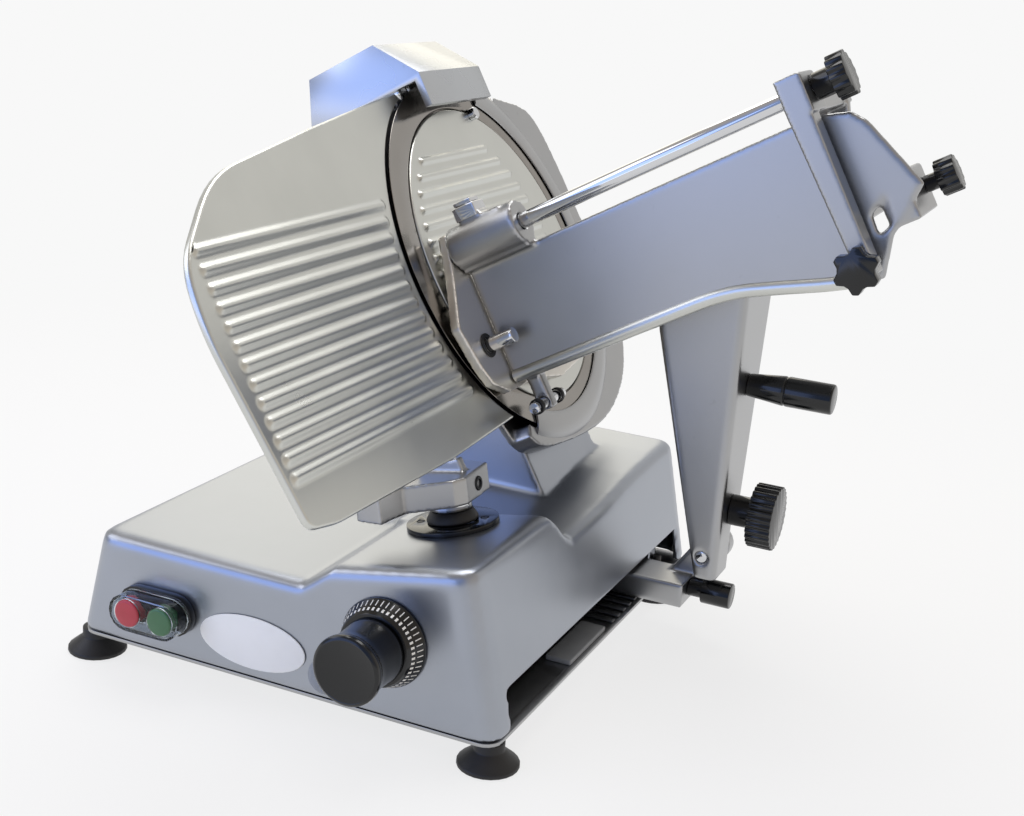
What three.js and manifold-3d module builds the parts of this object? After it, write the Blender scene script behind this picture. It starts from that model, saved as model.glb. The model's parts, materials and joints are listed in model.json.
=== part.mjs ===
// Gravity-feed meat slicer, modelled as an assembly of separate pieces.
// Millimetres. +X is the operator's right, +Y is away from the operator, +Z is up.
// The origin lies on the bench, under the centre of the front right foot.

import * as THREE from 'three';
import { mergeVertices } from 'three/addons/utils/BufferGeometryUtils.js';
import Module from 'manifold-3d';

const wasm = await Module();
wasm.setup();

// Driving dimensions
const knifeRadius = 150;
const knifeTiltDeg = 30;
const knifeCentreX = -136;
const knifeCentreY = 273;
const footSpanX = 330;
const footSpanY = 340;
const footRadius = 22;
const deckHeight = 104;
const knifeRise = 191;
const knifeCentreZ = deckHeight + knifeRise;
const deckRiseDeg = 11;
const seatGap = 0.3;
const runningGap = 0.5;
const slidingGap = 1;
const cutOverrun = 4;

// Base casting
const baseLeft = -337;
const baseRight = 12;
const baseFront = -16;
const baseRear = 395;
const baseUnderside = 22;
const baseWall = 6;
const baseDraftShare = 0.22;
const planCornerRadius = 17;
const coverCornerRadius = 13;
const topEdgeRadius = 9;
const blockLeftFoot = -144;
const blockLeftTop = -124;
const blockStep = 17;
const blockLeftHeight = deckHeight + blockStep;
const blockRearStart = 112;
const blockRearFoot = 150;
const saddleStep = 11;
const saddleHeight = deckHeight + saddleStep;
const rearRidgeY = 345;
const rearEdgeStep = 22;
const rearEdgeHeight = deckHeight + rearEdgeStep;
const rearBlockLeft = -205;
const rearBlockRight = -150;
const slotTop = 52;
const slotFront = 12;
const slotRear = 372;
const bossRadius = 11;
const studRadius = 4;
const studHeight = 15;

// Knife housing, behind the knife
const housingRadius = 82;
const housingFront = 22;
const housingRear = 84;
const housingWall = 8;
const housingLegHalf = 62;
const housingLegReach = 225;
const hubRadius = 27;
const hubRear = 46;
const bearingOuterRadius = 19;
const bearingWidth = 7;
const shaftRadius = 10;
const shaftFlangeRadius = 38;
const shaftFlangeThickness = 3;
const shaftRear = 70;
const pulleyRadius = 50;
const pulleyFront = 50;
const pulleyRear = 66;
const beltWidth = 12;
const beltThickness = 3;
const motorPulleyRadius = 12;
const motorLine = 107.94;
const motorRadius = 26;
const motorLength = 48;
const motorGap = 4;

// Knife and its cover
const knifeBore = 22;
const knifeDepth = 10.5;
const knifeRecessDepth = 4.5;
const bevelWidth = 14;
const bevelInnerRadius = knifeRadius - bevelWidth;
const bevelInnerDepth = 6;
const annulusWidth = 24;
const annulusInnerRadius = knifeRadius - annulusWidth;
const coverGap = 1.3;
const coverRadius = annulusInnerRadius - coverGap;
const coverProud = 0.6;
const ribPitch = 12.4;
const ribWidth = 7.4;
const ribHeight = 1.8;
const coverRibReach = 98;
const coverRibCount = 15;
const tieRodRadius = 3.5;
const tieKnobRadius = 18;
const tieKnobLength = 18;

// Gauge plate and its slide
const gaugeOpening = 2;
const gaugeThickness = 5;
const gaugeRimDepth = 11;
const gaugeClearance = 6;
const gaugeArcRadius = knifeRadius + gaugeClearance;
const gaugeLeft = 402;
const gaugeBottom = 126;
const gaugeRibCount = 13;
const gaugeRibTop = 62;
const gaugeRibLeft = 381;
const gaugeRibInset = 8;
const postX = -79;
const postY = 88;
const postRadius = 8;
const collarRadius = 15.5;
const collarBottom = 12;
const collarTop = 20;
const postReach = 46;
const gaugeTravelOpen = 7;
const gaugeTravelShut = 10.5;
const flangeRadius = 34;
const flangeThickness = 3;
const flangeScrewRadius = 3;
const gaiterRadius = 19;
const supportBlockHeight = 20;
const supportWebThickness = 8;
const slideRodRadius = 6;

// Index dial
const dialX = -76;
const dialDrop = 26;
const dialZ = deckHeight - dialDrop;
const dialRadius = 32.5;
const dialNeckRadius = 26;
const dialDepth = 16;
const indexKnobRadius = 25;
const indexKnobLength = 37;
const indexShaftRadius = 6;
const camRadius = 33;
const camThickness = 6;
const camFrontY = 18;
const camRiseTurn = 20;
const camRestRadius = 20;
const followerRadius = 3;

// Switch and front plates
const switchX = -261;
const switchZ = 56.5;
const switchHalfLength = 31.5;
const switchHalfHeight = 15.5;
const switchBezelDepth = 6;
const switchCoverDepth = 20;
const switchCoverWall = 2;
const buttonSpacing = 28;
const buttonRadius = 10.5;
const buttonStemRadius = 5;
const badgeX = -181;
const badgeZ = 50;
const badgeHalfLength = 44;
const badgeHalfHeight = 20;
const badgeThickness = 1.2;
const plugX = -121;
const plugZ = 40;
const plugRadius = 13;

// Carriage rail under the base
const railX = -22;
const railZ = 64;
const railRadius = 9;
const railFront = -5;
const railRear = 384;
const railBossRadius = 14;
const railBossLength = 20;
const guideBarZ = 34;
const guideBarWidth = 8;
const guideBarHeight = 12;
const hubWallRadius = 15;
const carriageFront = 262;
const carriageRear = 303;
const carriageHubRear = 296;
const tongueBottom = 28;
const tongueTop = 48;
const tongueEnd = 48;
const pivotX = 62;
const pivotZ = 78;
const pivotPinRadius = 5;
const lugRadius = 14;
const lugFront = 289;

// Arm that carries the product table
const armFront = 255;
const armRight = 75.5;
const armBottom = 60;
const armTopRight = 284;
const armLeftBottom = 57;
const armLeftTop = 7;
const armLeftTopZ = 257;
const armRearBottom = 303;
const armRearTop = 332;
const armCorner = 5;
const armWall = 6;
const armSolidTop = 138;
const armNotchTop = 106;
const handleY = 290;
const handleZ = 217;
const handleRadius = 12;
const handleLength = 68;
const clampKnobY = 283;
const clampKnobZ = 114;
const clampStemRadius = 12.5;
const clampStemLength = 18;
const clampCapRadius = 26;
const clampCapLength = 20;
const lockKnobY = 282;
const lockKnobZ = 40;
const lockCollarRadius = 7;
const lockCollarLength = 12;
const lockKnobRadius = 10.5;
const lockKnobLength = 24;

// Product table, measured from the knife's centre along its axis and up its face
const tableNear = 12;
const floorFar = 258;
const fenceFace = 94;
const fenceThickness = 6;
const fenceTop = 5;
const floorTop = 92;
const floorThickness = 6;
const floorDip = 16;
const floorDipStart = 185;
const floorDepth = 205;
const endPlateNear = 3.4;
const endPlateThickness = 8.2;
const rodHeight = 12;
const rodRadius = 6;
const rodOffset = 97;
const housingTubeRadius = 17;
const housingTubeLength = 60;
const rodBlockSize = 18;

// Pusher
const pusherBarNear = 289;
const pusherBarThickness = 19;
const pusherBarDepth = 20;
const pusherBarGap = 8;
const pusherBlockTop = 25;
const pusherBlockDepth = 27;
const pusherFootDrop = 118;
const pusherPlateThickness = 6;
const pusherPlateBottom = 88;
const spikeRadius = 2.5;
const spikeLength = 7;
const spikePitch = 22;
const starKnobRadius = 16;
const starKnobThickness = 12;
const starKnobDrop = 110;
const starKnobInset = 8;

// Sharpener above the knife
const hoodNear = 19;
const hoodFar = 91;
const hoodBottom = 149;
const hoodTop = 187;
const hoodLegBottom = 125;
const hoodFront = 53;
const hoodRear = 55;
const hoodWall = 5;
const hoodPinRadius = 3;
const hoodPinFar = 88;
const hoodPinHeight = 140;
const mountPlateBottom = 132;
const mountPlateTop = 138;

// Directions
const tilt = THREE.MathUtils.degToRad(knifeTiltDeg);
const rise = THREE.MathUtils.degToRad(deckRiseDeg);
const alongY = new THREE.Vector3(0, 1, 0);
const knifeAxis = new THREE.Vector3(Math.cos(tilt), 0, Math.sin(tilt));
const knifeUp = new THREE.Vector3(-Math.sin(tilt), 0, Math.cos(tilt));
const deckAlong = new THREE.Vector3(Math.cos(rise), 0, Math.sin(rise));
const deckUp = new THREE.Vector3(-Math.sin(rise), 0, Math.cos(rise));

const blockSlope = Math.tan(rise);
const motorDrop = (knifeCentreZ - motorLine) / Math.cos(tilt);
const fullTurn = 2 * Math.PI;
const weldTolerance = 1e-4;

// Materials
function finish(colour, roughness, metalness) {
  return new THREE.MeshStandardMaterial({ color: colour, roughness, metalness });
}
const castAluminium = () => finish(0xb9b6b0, 0.42, 0.9);
const machinedAluminium = () => finish(0xc6c8ca, 0.3, 0.95);
const chromedSteel = () => finish(0xd8dadc, 0.12, 1);
const polishedSteel = () => finish(0xc9ccd0, 0.15, 1);
const darkSteel = () => finish(0x3c3e40, 0.5, 0.8);
const blackPlastic = () => finish(0x101114, 0.3, 0);
const blackRubber = () => finish(0x151515, 0.7, 0);
const greyPlastic = () => finish(0x8d9093, 0.5, 0);
const redPlastic = () => finish(0xc4202f, 0.4, 0);
const greenPlastic = () => finish(0x2d7a3e, 0.4, 0);
const abrasive = () => finish(0x8f8a80, 0.9, 0);

// Frames: knife (x away, y up the face, z along the axis), table (x along the axis,
// y up the face, z towards the operator) and deck (x up the slope, y away, z square to it)
function frameGroup(origin, xAxis, yAxis, zAxis) {
  const group = new THREE.Group();
  group.quaternion.setFromRotationMatrix(new THREE.Matrix4().makeBasis(xAxis, yAxis, zAxis));
  group.position.copy(origin);
  group.updateMatrix();
  return group;
}
const knifeCentre = new THREE.Vector3(knifeCentreX, knifeCentreY, knifeCentreZ);
const deckPost = new THREE.Vector3(
  postX, postY, blockLeftHeight + (postX - blockLeftTop) * blockSlope);
const knifeFrame = frameGroup(knifeCentre, alongY, knifeUp, knifeAxis);
const tableFrame = frameGroup(knifeCentre, knifeAxis, knifeUp, alongY.clone().negate());
const deckFrame = frameGroup(deckPost, deckAlong, alongY, deckUp);
const model = new THREE.Group();
model.add(knifeFrame, tableFrame, deckFrame);

function piece(name, geometry, material, parent = model) {
  const mesh = new THREE.Mesh(shown(solid(geometry)), material);
  mesh.name = name;
  parent.add(mesh);
  return mesh;
}

// Joining and cutting
function solid(geometry) {
  const plain = geometry.clone();
  plain.deleteAttribute('normal');
  plain.deleteAttribute('uv');
  const merged = mergeVertices(plain, weldTolerance);
  return new wasm.Manifold(new wasm.Mesh({
    numProp: 3,
    vertProperties: new Float32Array(merged.attributes.position.array),
    triVerts: new Uint32Array(merged.index.array),
  }));
}
function shown(manifold) {
  const mesh = manifold.getMesh();
  const geometry = new THREE.BufferGeometry();
  const positions = new Float32Array(mesh.numVert * 3);
  for (let i = 0; i < mesh.numVert; i += 1) {
    for (let k = 0; k < 3; k += 1) {
      positions[3 * i + k] = mesh.vertProperties[mesh.numProp * i + k];
    }
  }
  geometry.setAttribute('position', new THREE.BufferAttribute(positions, 3));
  geometry.setIndex(new THREE.BufferAttribute(new Uint32Array(mesh.triVerts), 1));
  geometry.computeVertexNormals();
  return geometry;
}
function joined(...geometries) {
  return shown(geometries.map(solid).reduce((sum, next) => sum.add(next)));
}
function cut(geometry, ...tools) {
  return shown(tools.map(solid).reduce((rest, tool) => rest.subtract(tool), solid(geometry)));
}
function common(geometry, ...others) {
  return shown(others.map(solid).reduce((rest, next) => rest.intersect(next), solid(geometry)));
}

// Shapes
function block(x0, x1, y0, y1, z0, z1) {
  const geometry = new THREE.BoxGeometry(x1 - x0, y1 - y0, z1 - z0);
  return geometry.translate((x0 + x1) / 2, (y0 + y1) / 2, (z0 + z1) / 2);
}
function turned(profile, segments = 24) {
  const points = profile.map(([radius, height]) => new THREE.Vector2(radius, height));
  return new THREE.LatheGeometry(points, segments).rotateX(Math.PI / 2);
}
function rod(radius, from, to, segments = 16) {
  return turned([[0, from], [radius, from], [radius, to], [0, to]], segments);
}
function tube(outer, inner, from, to, segments = 20) {
  return turned(
    [[inner, from], [outer, from], [outer, to], [inner, to], [inner, from]], segments);
}
function alongAxis(geometry, axis) {
  const turn = new THREE.Quaternion().setFromUnitVectors(new THREE.Vector3(0, 0, 1), axis);
  return geometry.applyQuaternion(turn);
}
const rightwards = new THREE.Vector3(1, 0, 0);
const leftwards = new THREE.Vector3(-1, 0, 0);
const towardsOperator = new THREE.Vector3(0, -1, 0);
const away = new THREE.Vector3(0, 1, 0);
function outline(points, holes = []) {
  const shape = new THREE.Shape(points.map(([x, y]) => new THREE.Vector2(x, y)));
  for (const hole of holes) {
    shape.holes.push(new THREE.Path(hole.map(([x, y]) => new THREE.Vector2(x, y))));
  }
  return shape;
}
function plate(points, from, to, holes = []) {
  const geometry = new THREE.ExtrudeGeometry(
    outline(points, holes), { depth: to - from, bevelEnabled: false });
  return geometry.translate(0, 0, from);
}
function arc(cx, cy, radius, startDeg, endDeg, steps) {
  return Array.from({ length: steps + 1 }, (_, i) => {
    const angle = THREE.MathUtils.degToRad(startDeg + ((endDeg - startDeg) * i) / steps);
    return [cx + radius * Math.cos(angle), cy + radius * Math.sin(angle)];
  });
}
function ellipse(cx, cy, rx, ry, steps) {
  return Array.from({ length: steps }, (_, i) => [
    cx + rx * Math.cos((fullTurn * i) / steps), cy + ry * Math.sin((fullTurn * i) / steps)]);
}
function capsule(cx, cy, halfLength, halfHeight, steps = 8) {
  const straight = halfLength - halfHeight;
  return [
    ...arc(cx + straight, cy, halfHeight, -90, 90, steps),
    ...arc(cx - straight, cy, halfHeight, 90, 270, steps)];
}
function fluted(radius, depth, flutes) {
  return Array.from({ length: flutes * 4 }, (_, i) => {
    const angle = (fullTurn * i) / (flutes * 4);
    const reach = radius - (i % 4 < 2 ? 0 : depth);
    return [reach * Math.cos(angle), reach * Math.sin(angle)];
  });
}
// A closed body through rings of equal length, each ring a list of points
function loft(rings) {
  const count = rings[0].length;
  const positions = rings.flat().flatMap((point) => point);
  const index = [];
  for (let r = 0; r + 1 < rings.length; r += 1) {
    for (let i = 0; i < count; i += 1) {
      const j = (i + 1) % count;
      const a = r * count + i;
      const b = r * count + j;
      index.push(a, b, b + count, a, b + count, a + count);
    }
  }
  const cap = (start, flip) => {
    const ring = rings[start];
    const flat = projectRing(ring);
    for (const [a, b, c] of THREE.ShapeUtils.triangulateShape(flat, [])) {
      const first = start * count;
      index.push(first + a, first + (flip ? c : b), first + (flip ? b : c));
    }
  };
  cap(0, true);
  cap(rings.length - 1, false);
  const geometry = new THREE.BufferGeometry();
  geometry.setAttribute('position', new THREE.Float32BufferAttribute(positions, 3));
  geometry.setIndex(facesOutward(positions, index) ? index : index.reverse());
  return geometry;
}
function facesOutward(positions, index) {
  const corner = (i) => new THREE.Vector3().fromArray(positions, 3 * index[i]);
  let volume = 0;
  for (let i = 0; i < index.length; i += 3) {
    volume += corner(i).dot(new THREE.Vector3().crossVectors(corner(i + 1), corner(i + 2)));
  }
  return volume > 0;
}
function projectRing(ring) {
  const points = ring.map((point) => new THREE.Vector3(...point));
  const normal = new THREE.Vector3();
  points.forEach((point, i) => normal.add(
    new THREE.Vector3().crossVectors(point, points[(i + 1) % points.length])));
  const across = points[1].clone().sub(points[0]).normalize();
  const up = new THREE.Vector3().crossVectors(normal.normalize(), across);
  return points.map((point) => new THREE.Vector2(point.dot(across), point.dot(up)));
}
function inWorld(geometry, frame) {
  return geometry.clone().applyMatrix4(frame.matrix);
}

// Base casting: rings along Y under a top surface that steps and slopes
function smooth(from, to, value) {
  return THREE.MathUtils.smoothstep(value, from, to);
}
function topHeight(x, y) {
  const blockTop = blockLeftHeight + blockSlope * (x - blockLeftTop);
  const blockShare = smooth(blockLeftFoot, blockLeftTop, x)
    * (1 - smooth(blockRearStart, blockRearFoot, y));
  const rearTop = saddleHeight
    + (rearEdgeHeight - saddleHeight) * smooth(blockRearFoot, rearRidgeY, y);
  const rearShare = smooth(rearBlockLeft, rearBlockRight, x)
    * smooth(blockRearStart, blockRearFoot, y);
  return deckHeight + Math.max(blockTop - deckHeight, 0) * blockShare
    + (rearTop - deckHeight) * rearShare;
}
function cornerLoss(radius, depth) {
  const left = radius - Math.min(Math.max(depth, 0), radius);
  return radius - Math.sqrt(radius ** 2 - left ** 2);
}
const cornerStationShares = [0, 0.06, 0.235, 0.59, 1.18];
const middleStationShares = [0.146, 0.297, 0.321, 0.345, 0.375, 0.404, 0.56, 0.73, 0.878];
const edgeStepShares = [0, 0.17, 0.44, 1];
const topSteps = 12;
function baseStations(length) {
  const corner = cornerStationShares.map((share) => share * planCornerRadius);
  return [
    ...corner, ...middleStationShares.map((share) => share * length),
    ...[...corner].reverse().map((depth) => length - depth)];
}
function baseBody(inset, underside) {
  const length = baseRear - baseFront;
  const cornerRadius = planCornerRadius - inset;
  const edgeRadius = topEdgeRadius - inset / 2;
  const edgeSteps = edgeStepShares.map((share) => share * topEdgeRadius);
  const rings = baseStations(length).map((station) => {
    const y = baseFront + inset + (station * (length - 2 * inset)) / length;
    const depth = Math.min(station, length - station);
    const planLoss = cornerLoss(cornerRadius, depth);
    const lowered = inset + cornerLoss(edgeRadius, depth);
    const left = baseLeft + inset + planLoss;
    const right = baseRight - inset - planLoss;
    const drafted = (height) => baseDraftShare * (height - lowered - edgeRadius - baseUnderside);
    const leftTop = left + drafted(deckHeight);
    const guess = baseRight - baseDraftShare * (rearEdgeHeight - baseUnderside);
    const rightTop = right - drafted(topHeight(guess, y));
    const spread = rightTop - leftTop - 2 * topEdgeRadius;
    const offsets = [...edgeSteps];
    for (let i = 1; i < topSteps; i += 1) offsets.push(topEdgeRadius + (spread * i) / topSteps);
    for (const step of [...edgeSteps].reverse()) offsets.push(rightTop - leftTop - step);
    const ring = [[left, y, underside], [right, y, underside]];
    for (const offset of offsets) {
      const x = rightTop - offset;
      const edge = Math.min(offset, rightTop - leftTop - offset);
      ring.push([x, y, topHeight(x, y) - lowered - cornerLoss(edgeRadius, edge)]);
    }
    return ring;
  });
  return loft(rings);
}
function footPlaces() {
  return [[0, 0], [-footSpanX, 0], [-footSpanX, footSpanY], [0, footSpanY]];
}
function atPlaces(places, make) {
  return places.map(([x, y]) => make().translate(x, y, 0));
}
const postOpening = postRadius + runningGap;
const postSlot = [
  ...arc(gaugeTravelShut, 0, postOpening, -90, 90, 8),
  ...arc(-gaugeTravelOpen, 0, postOpening, 90, 270, 8)];
const slideRodY = 20;
const slideLugReach = 53;
const slideLugThickness = 8;
const slideLugHalf = 11;
function inDeck(geometry) {
  return inWorld(geometry, deckFrame);
}
function inKnife(geometry) {
  return inWorld(geometry, knifeFrame);
}
function inTable(geometry) {
  return inWorld(geometry, tableFrame);
}
function housingSolid(inset, rear) {
  const drum = rod(housingRadius - inset, -rear, -(housingFront + inset), 40);
  const leg = block(
    -(housingLegHalf - inset), housingLegHalf - inset, -housingLegReach, 0,
    -(housingRear - inset), -(housingFront + inset));
  return joined(drum, leg);
}
const sinkIn = 1;
const dialBossWall = 6;
const dialBossLength = 14;
const switchHoleInset = 7;
const plugLipWidth = 4;
const plugShankRadius = plugRadius - plugLipWidth;
const columnTop = deckHeight - 2 * sinkIn;
const throughWall = baseWall + 2 * cutOverrun;
function baseCasting() {
  const outer = baseBody(0, baseUnderside);
  const inner = baseBody(baseWall, baseUnderside - cutOverrun);
  const columns = atPlaces(footPlaces(), () => rod(bossRadius, baseUnderside, columnTop))
    .map((column) => common(column, outer));
  const lugs = [-slideLugReach, slideLugReach - slideLugThickness].map((x) => inDeck(block(
    x, x + slideLugThickness, slideRodY - slideLugHalf, slideRodY + slideLugHalf,
    -(postReach + slideLugHalf), -sinkIn)));
  const hub = inKnife(rod(hubRadius, -hubRear, -(housingFront + sinkIn), 28));
  const railBosses = [baseFront + sinkIn, baseRear - railBossLength - sinkIn].map((y) => alongAxis(
    rod(railBossRadius, 0, railBossLength, 24), away).translate(railX, y, railZ));
  const railBore = alongAxis(
    rod(railRadius + seatGap, railFront - sinkIn, railRear + sinkIn, 24), away)
    .translate(railX, 0, railZ);
  const dialBoss = alongAxis(rod(indexShaftRadius + dialBossWall, 0, dialBossLength), away)
    .translate(dialX, baseFront + sinkIn, dialZ);
  const slot = block(
    -cutOverrun, baseRight + cutOverrun, slotFront, slotRear, baseUnderside - cutOverrun, slotTop);
  const switchHole = alongAxis(plate(
    capsule(0, 0, switchHalfLength - switchHoleInset, switchHalfHeight - switchHoleInset),
    0, throughWall), away).translate(switchX, baseFront - cutOverrun, switchZ);
  const dialHole = alongAxis(
    rod(indexShaftRadius + runningGap, 0, dialBossLength + throughWall), away)
    .translate(dialX, baseFront - cutOverrun, dialZ);
  const plugHole = alongAxis(rod(plugShankRadius + seatGap, 0, throughWall), away)
    .translate(plugX, baseFront - cutOverrun, plugZ);
  const postHole = inDeck(plate(postSlot, -(baseWall + 3 * cutOverrun), cutOverrun));
  const rodHole = inDeck(alongAxis(rod(
    slideRodRadius + seatGap, -(slideLugReach + sinkIn), slideLugReach + sinkIn), rightwards)
    .translate(0, slideRodY, -postReach));
  const bearingSeat = inKnife(rod(
    bearingOuterRadius + seatGap, -(hubRear + sinkIn), -(housingFront - sinkIn), 24));
  const studHoles = atPlaces(footPlaces(), () => rod(
    studRadius + seatGap, baseUnderside - sinkIn, baseUnderside + studHeight));
  return cut(
    joined(cut(
      joined(outer, inKnife(housingSolid(0, housingRear))), inner,
      inKnife(housingSolid(housingWall, housingRear + cutOverrun))),
    hub, ...columns, ...lugs, ...railBosses, dialBoss),
    slot, railBore, switchHole, dialHole, plugHole, postHole, rodHole, bearingSeat, ...studHoles);
}
piece('base_casting', baseCasting(), castAluminium());

// Bottom cover with its louvres, and the feet with their studs
const coverTop = baseUnderside - seatGap;
const coverSheet = 2.5;
const coverBottom = coverTop - coverSheet;
const coverInset = 2;
const louvreLength = 60;
const louvreWidth = 5;
const louvrePitch = 14;
const louvreCount = 6;
const louvreStartX = -120;
const louvreStartY = 90;
function roundedRectangle(x0, x1, y0, y1, radius, steps = 5) {
  return [
    ...arc(x1 - radius, y0 + radius, radius, -90, 0, steps),
    ...arc(x1 - radius, y1 - radius, radius, 0, 90, steps),
    ...arc(x0 + radius, y1 - radius, radius, 90, 180, steps),
    ...arc(x0 + radius, y0 + radius, radius, 180, 270, steps)];
}
function circleAt(x, y, radius, steps = 16) {
  return ellipse(x, y, radius, radius, steps);
}
function bottomCover() {
  const studHoles = footPlaces().map(([x, y]) => circleAt(x, y, studRadius + seatGap));
  const louvres = Array.from({ length: louvreCount }, (_, i) => capsule(
    louvreStartX, louvreStartY + i * louvrePitch, louvreLength / 2, louvreWidth / 2, 4));
  return plate(
    roundedRectangle(
      baseLeft + coverInset, baseRight - coverInset, baseFront + coverInset,
      baseRear - coverInset, coverCornerRadius),
    coverBottom, coverTop, [...studHoles, ...louvres]);
}
piece('bottom_cover', bottomCover(), castAluminium());
const footTop = coverBottom - seatGap;
const footBrim = 3;
const footNeckHeight = 12;
const studTop = baseUnderside + studHeight - seatGap;
const footNames = ['front_right', 'front_left', 'rear_left', 'rear_right'];
footPlaces().forEach(([x, y], i) => {
  const foot = turned([
    [0, 0], [footRadius, 0], [footRadius, footBrim], [bossRadius, footNeckHeight],
    [bossRadius, footTop], [studRadius, footTop], [studRadius, studTop], [0, studTop]], 24);
  piece(`foot_${footNames[i]}`, foot.translate(x, y, 0), blackRubber());
});
const boxLeft = -75;
const boxRight = -45;
const boxFront = 127;
const boxRear = 200;
const boxTop = 50;
piece('electrical_box', block(boxLeft, boxRight, boxFront, boxRear, baseUnderside, boxTop),
  greyPlastic());

// Switch, badge plate and access plug on the front face
function onFront(geometry, x, z) {
  return alongAxis(geometry, towardsOperator).translate(x, baseFront - seatGap, z);
}
function frontPlate(points, from, to, holes = []) {
  return plate(points, from, to, holes).rotateX(Math.PI / 2);
}
function atSwitch(geometry) {
  return geometry.translate(switchX, baseFront - seatGap, switchZ);
}
const buttonOffset = buttonSpacing / 2;
const buttonOpening = buttonRadius + runningGap;
const bezelInset = 1.7;
const switchBodyInset = switchHoleInset + sinkIn;
const innerHalfLength = switchHalfLength - bezelInset;
const innerHalfHeight = switchHalfHeight - bezelInset;
const stemOpening = buttonStemRadius + runningGap;
const stemHoles = () => [-buttonOffset, buttonOffset].map((x) => circleAt(x, 0, stemOpening));
const switchBodyReach = 8;
const switchBodyDepth = baseWall + switchBodyReach;
function switchBezel() {
  return atSwitch(joined(
    frontPlate(capsule(0, 0, switchHalfLength, switchHalfHeight), 0, switchBezelDepth, stemHoles()),
    frontPlate(
      capsule(0, 0, switchHalfLength - switchBodyInset, switchHalfHeight - switchBodyInset),
      -switchBodyDepth, switchBezelDepth - sinkIn, stemHoles())));
}
piece('switch_bezel', switchBezel(), blackPlastic());
const coverFoot = switchBezelDepth + seatGap;
const coverOpening = switchCoverDepth - switchCoverWall;
function switchCover() {
  const shell = frontPlate(
    capsule(0, 0, innerHalfLength, innerHalfHeight), coverFoot, switchCoverDepth);
  const hollow = frontPlate(
    capsule(0, 0, innerHalfLength - switchCoverWall, innerHalfHeight - switchCoverWall),
    coverFoot - sinkIn, coverOpening);
  const holes = [-buttonOffset, buttonOffset].map((x) => frontPlate(
    circleAt(x, 0, buttonOpening, 24), coverOpening - sinkIn, switchCoverDepth + sinkIn));
  return atSwitch(cut(shell, hollow, ...holes));
}
piece('switch_cover', switchCover(), greyPlastic());
const buttonRise = 6;
const buttonFoot = switchBezelDepth + buttonRise;
const buttonTop = switchCoverDepth + sinkIn;
const buttonEdge = 1;
function pushButton(x) {
  const cap = turned([
    [0, -switchBodyDepth], [buttonStemRadius, -switchBodyDepth], [buttonStemRadius, buttonFoot],
    [buttonRadius, buttonFoot], [buttonRadius, buttonTop - buttonEdge],
    [buttonRadius - buttonEdge, buttonTop], [0, buttonTop]], 28);
  return onFront(cap, switchX + x, switchZ);
}
piece('stop_button', pushButton(-buttonOffset), redPlastic());
piece('start_button', pushButton(buttonOffset), greenPlastic());
const badgeFoot = seatGap - baseFront;
piece('badge_plate', frontPlate(
  ellipse(badgeX, badgeZ, badgeHalfLength, badgeHalfHeight, 40), badgeFoot,
  badgeFoot + badgeThickness), machinedAluminium());
const plugLip = 2;
const plugCrown = 4;
piece('access_plug', onFront(turned([
  [0, -baseWall], [plugShankRadius, -baseWall], [plugShankRadius, 0], [plugRadius, 0],
  [plugRadius, plugLip], [plugShankRadius, plugCrown], [0, plugCrown]], 24), plugX, plugZ),
greyPlastic());

// Index dial, its knob and the spiral cam that shifts the gauge plate
const hubBore = indexShaftRadius + seatGap;
const dialRim = 1;
piece('index_dial', onFront(turned([
  [hubBore, 0], [dialRadius, 0], [dialRadius, dialRim], [dialNeckRadius, dialDepth],
  [hubBore, dialDepth], [hubBore, 0]], 40), dialX, dialZ), blackPlastic());
const knobFoot = dialDepth + seatGap;
const knobFace = knobFoot + indexKnobLength;
const knobSocket = 12;
const knobWaistDepth = 2;
const knobWaist = indexKnobRadius - knobWaistDepth;
const knobFaceRadius = indexKnobRadius - knobWaistDepth;
const knobFootRadius = indexKnobRadius - knobWaistDepth / 2;
const knobRimWidth = 3;
const knobRimFoot = knobFace - 2 * knobRimWidth;
function indexKnob() {
  const body = turned([
    [0, knobFoot], [knobFootRadius, knobFoot], [knobWaist, knobFoot + knobSocket],
    [knobWaist, knobRimFoot - knobRimWidth], [indexKnobRadius, knobRimFoot],
    [indexKnobRadius, knobFace - knobRimWidth / 2], [knobFaceRadius, knobFace], [0, knobFace]], 40);
  return cut(body, rod(hubBore, knobFoot - sinkIn, knobFoot + knobSocket));
}
piece('index_knob', onFront(indexKnob(), dialX, dialZ), blackPlastic());
const camRear = camFrontY + camThickness;
const camSteps = 30;
const camMargin = 1;
const camRim = 4;
const camSlotHalf = followerRadius + slidingGap / 2;
function camSlot() {
  const angles = Array.from({ length: camSteps + 1 }, (_, i) => {
    const travel = -(gaugeTravelOpen + camMargin)
      + (i * (gaugeTravelOpen + gaugeTravelShut + 2 * camMargin)) / camSteps;
    return { angle: rise + (fullTurn * travel) / camRiseTurn, reach: camRestRadius + travel };
  });
  const outer = angles.map(({ angle, reach }) => [
    (reach + camSlotHalf) * Math.cos(angle), (reach + camSlotHalf) * Math.sin(angle)]);
  const inner = angles.reverse().map(({ angle, reach }) => [
    (reach - camSlotHalf) * Math.cos(angle), (reach - camSlotHalf) * Math.sin(angle)]);
  return [...outer, ...inner];
}
function indexCam() {
  const disc = frontPlate(
    circleAt(0, 0, camRadius + camRim, 40), -camRear, -camFrontY, [camSlot()]);
  const shaft = alongAxis(rod(
    indexShaftRadius, baseFront - seatGap - knobFoot - knobSocket + sinkIn, camRear), away);
  return joined(disc, shaft).translate(dialX, 0, dialZ);
}
piece('index_cam', indexCam(), darkSteel());

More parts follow.
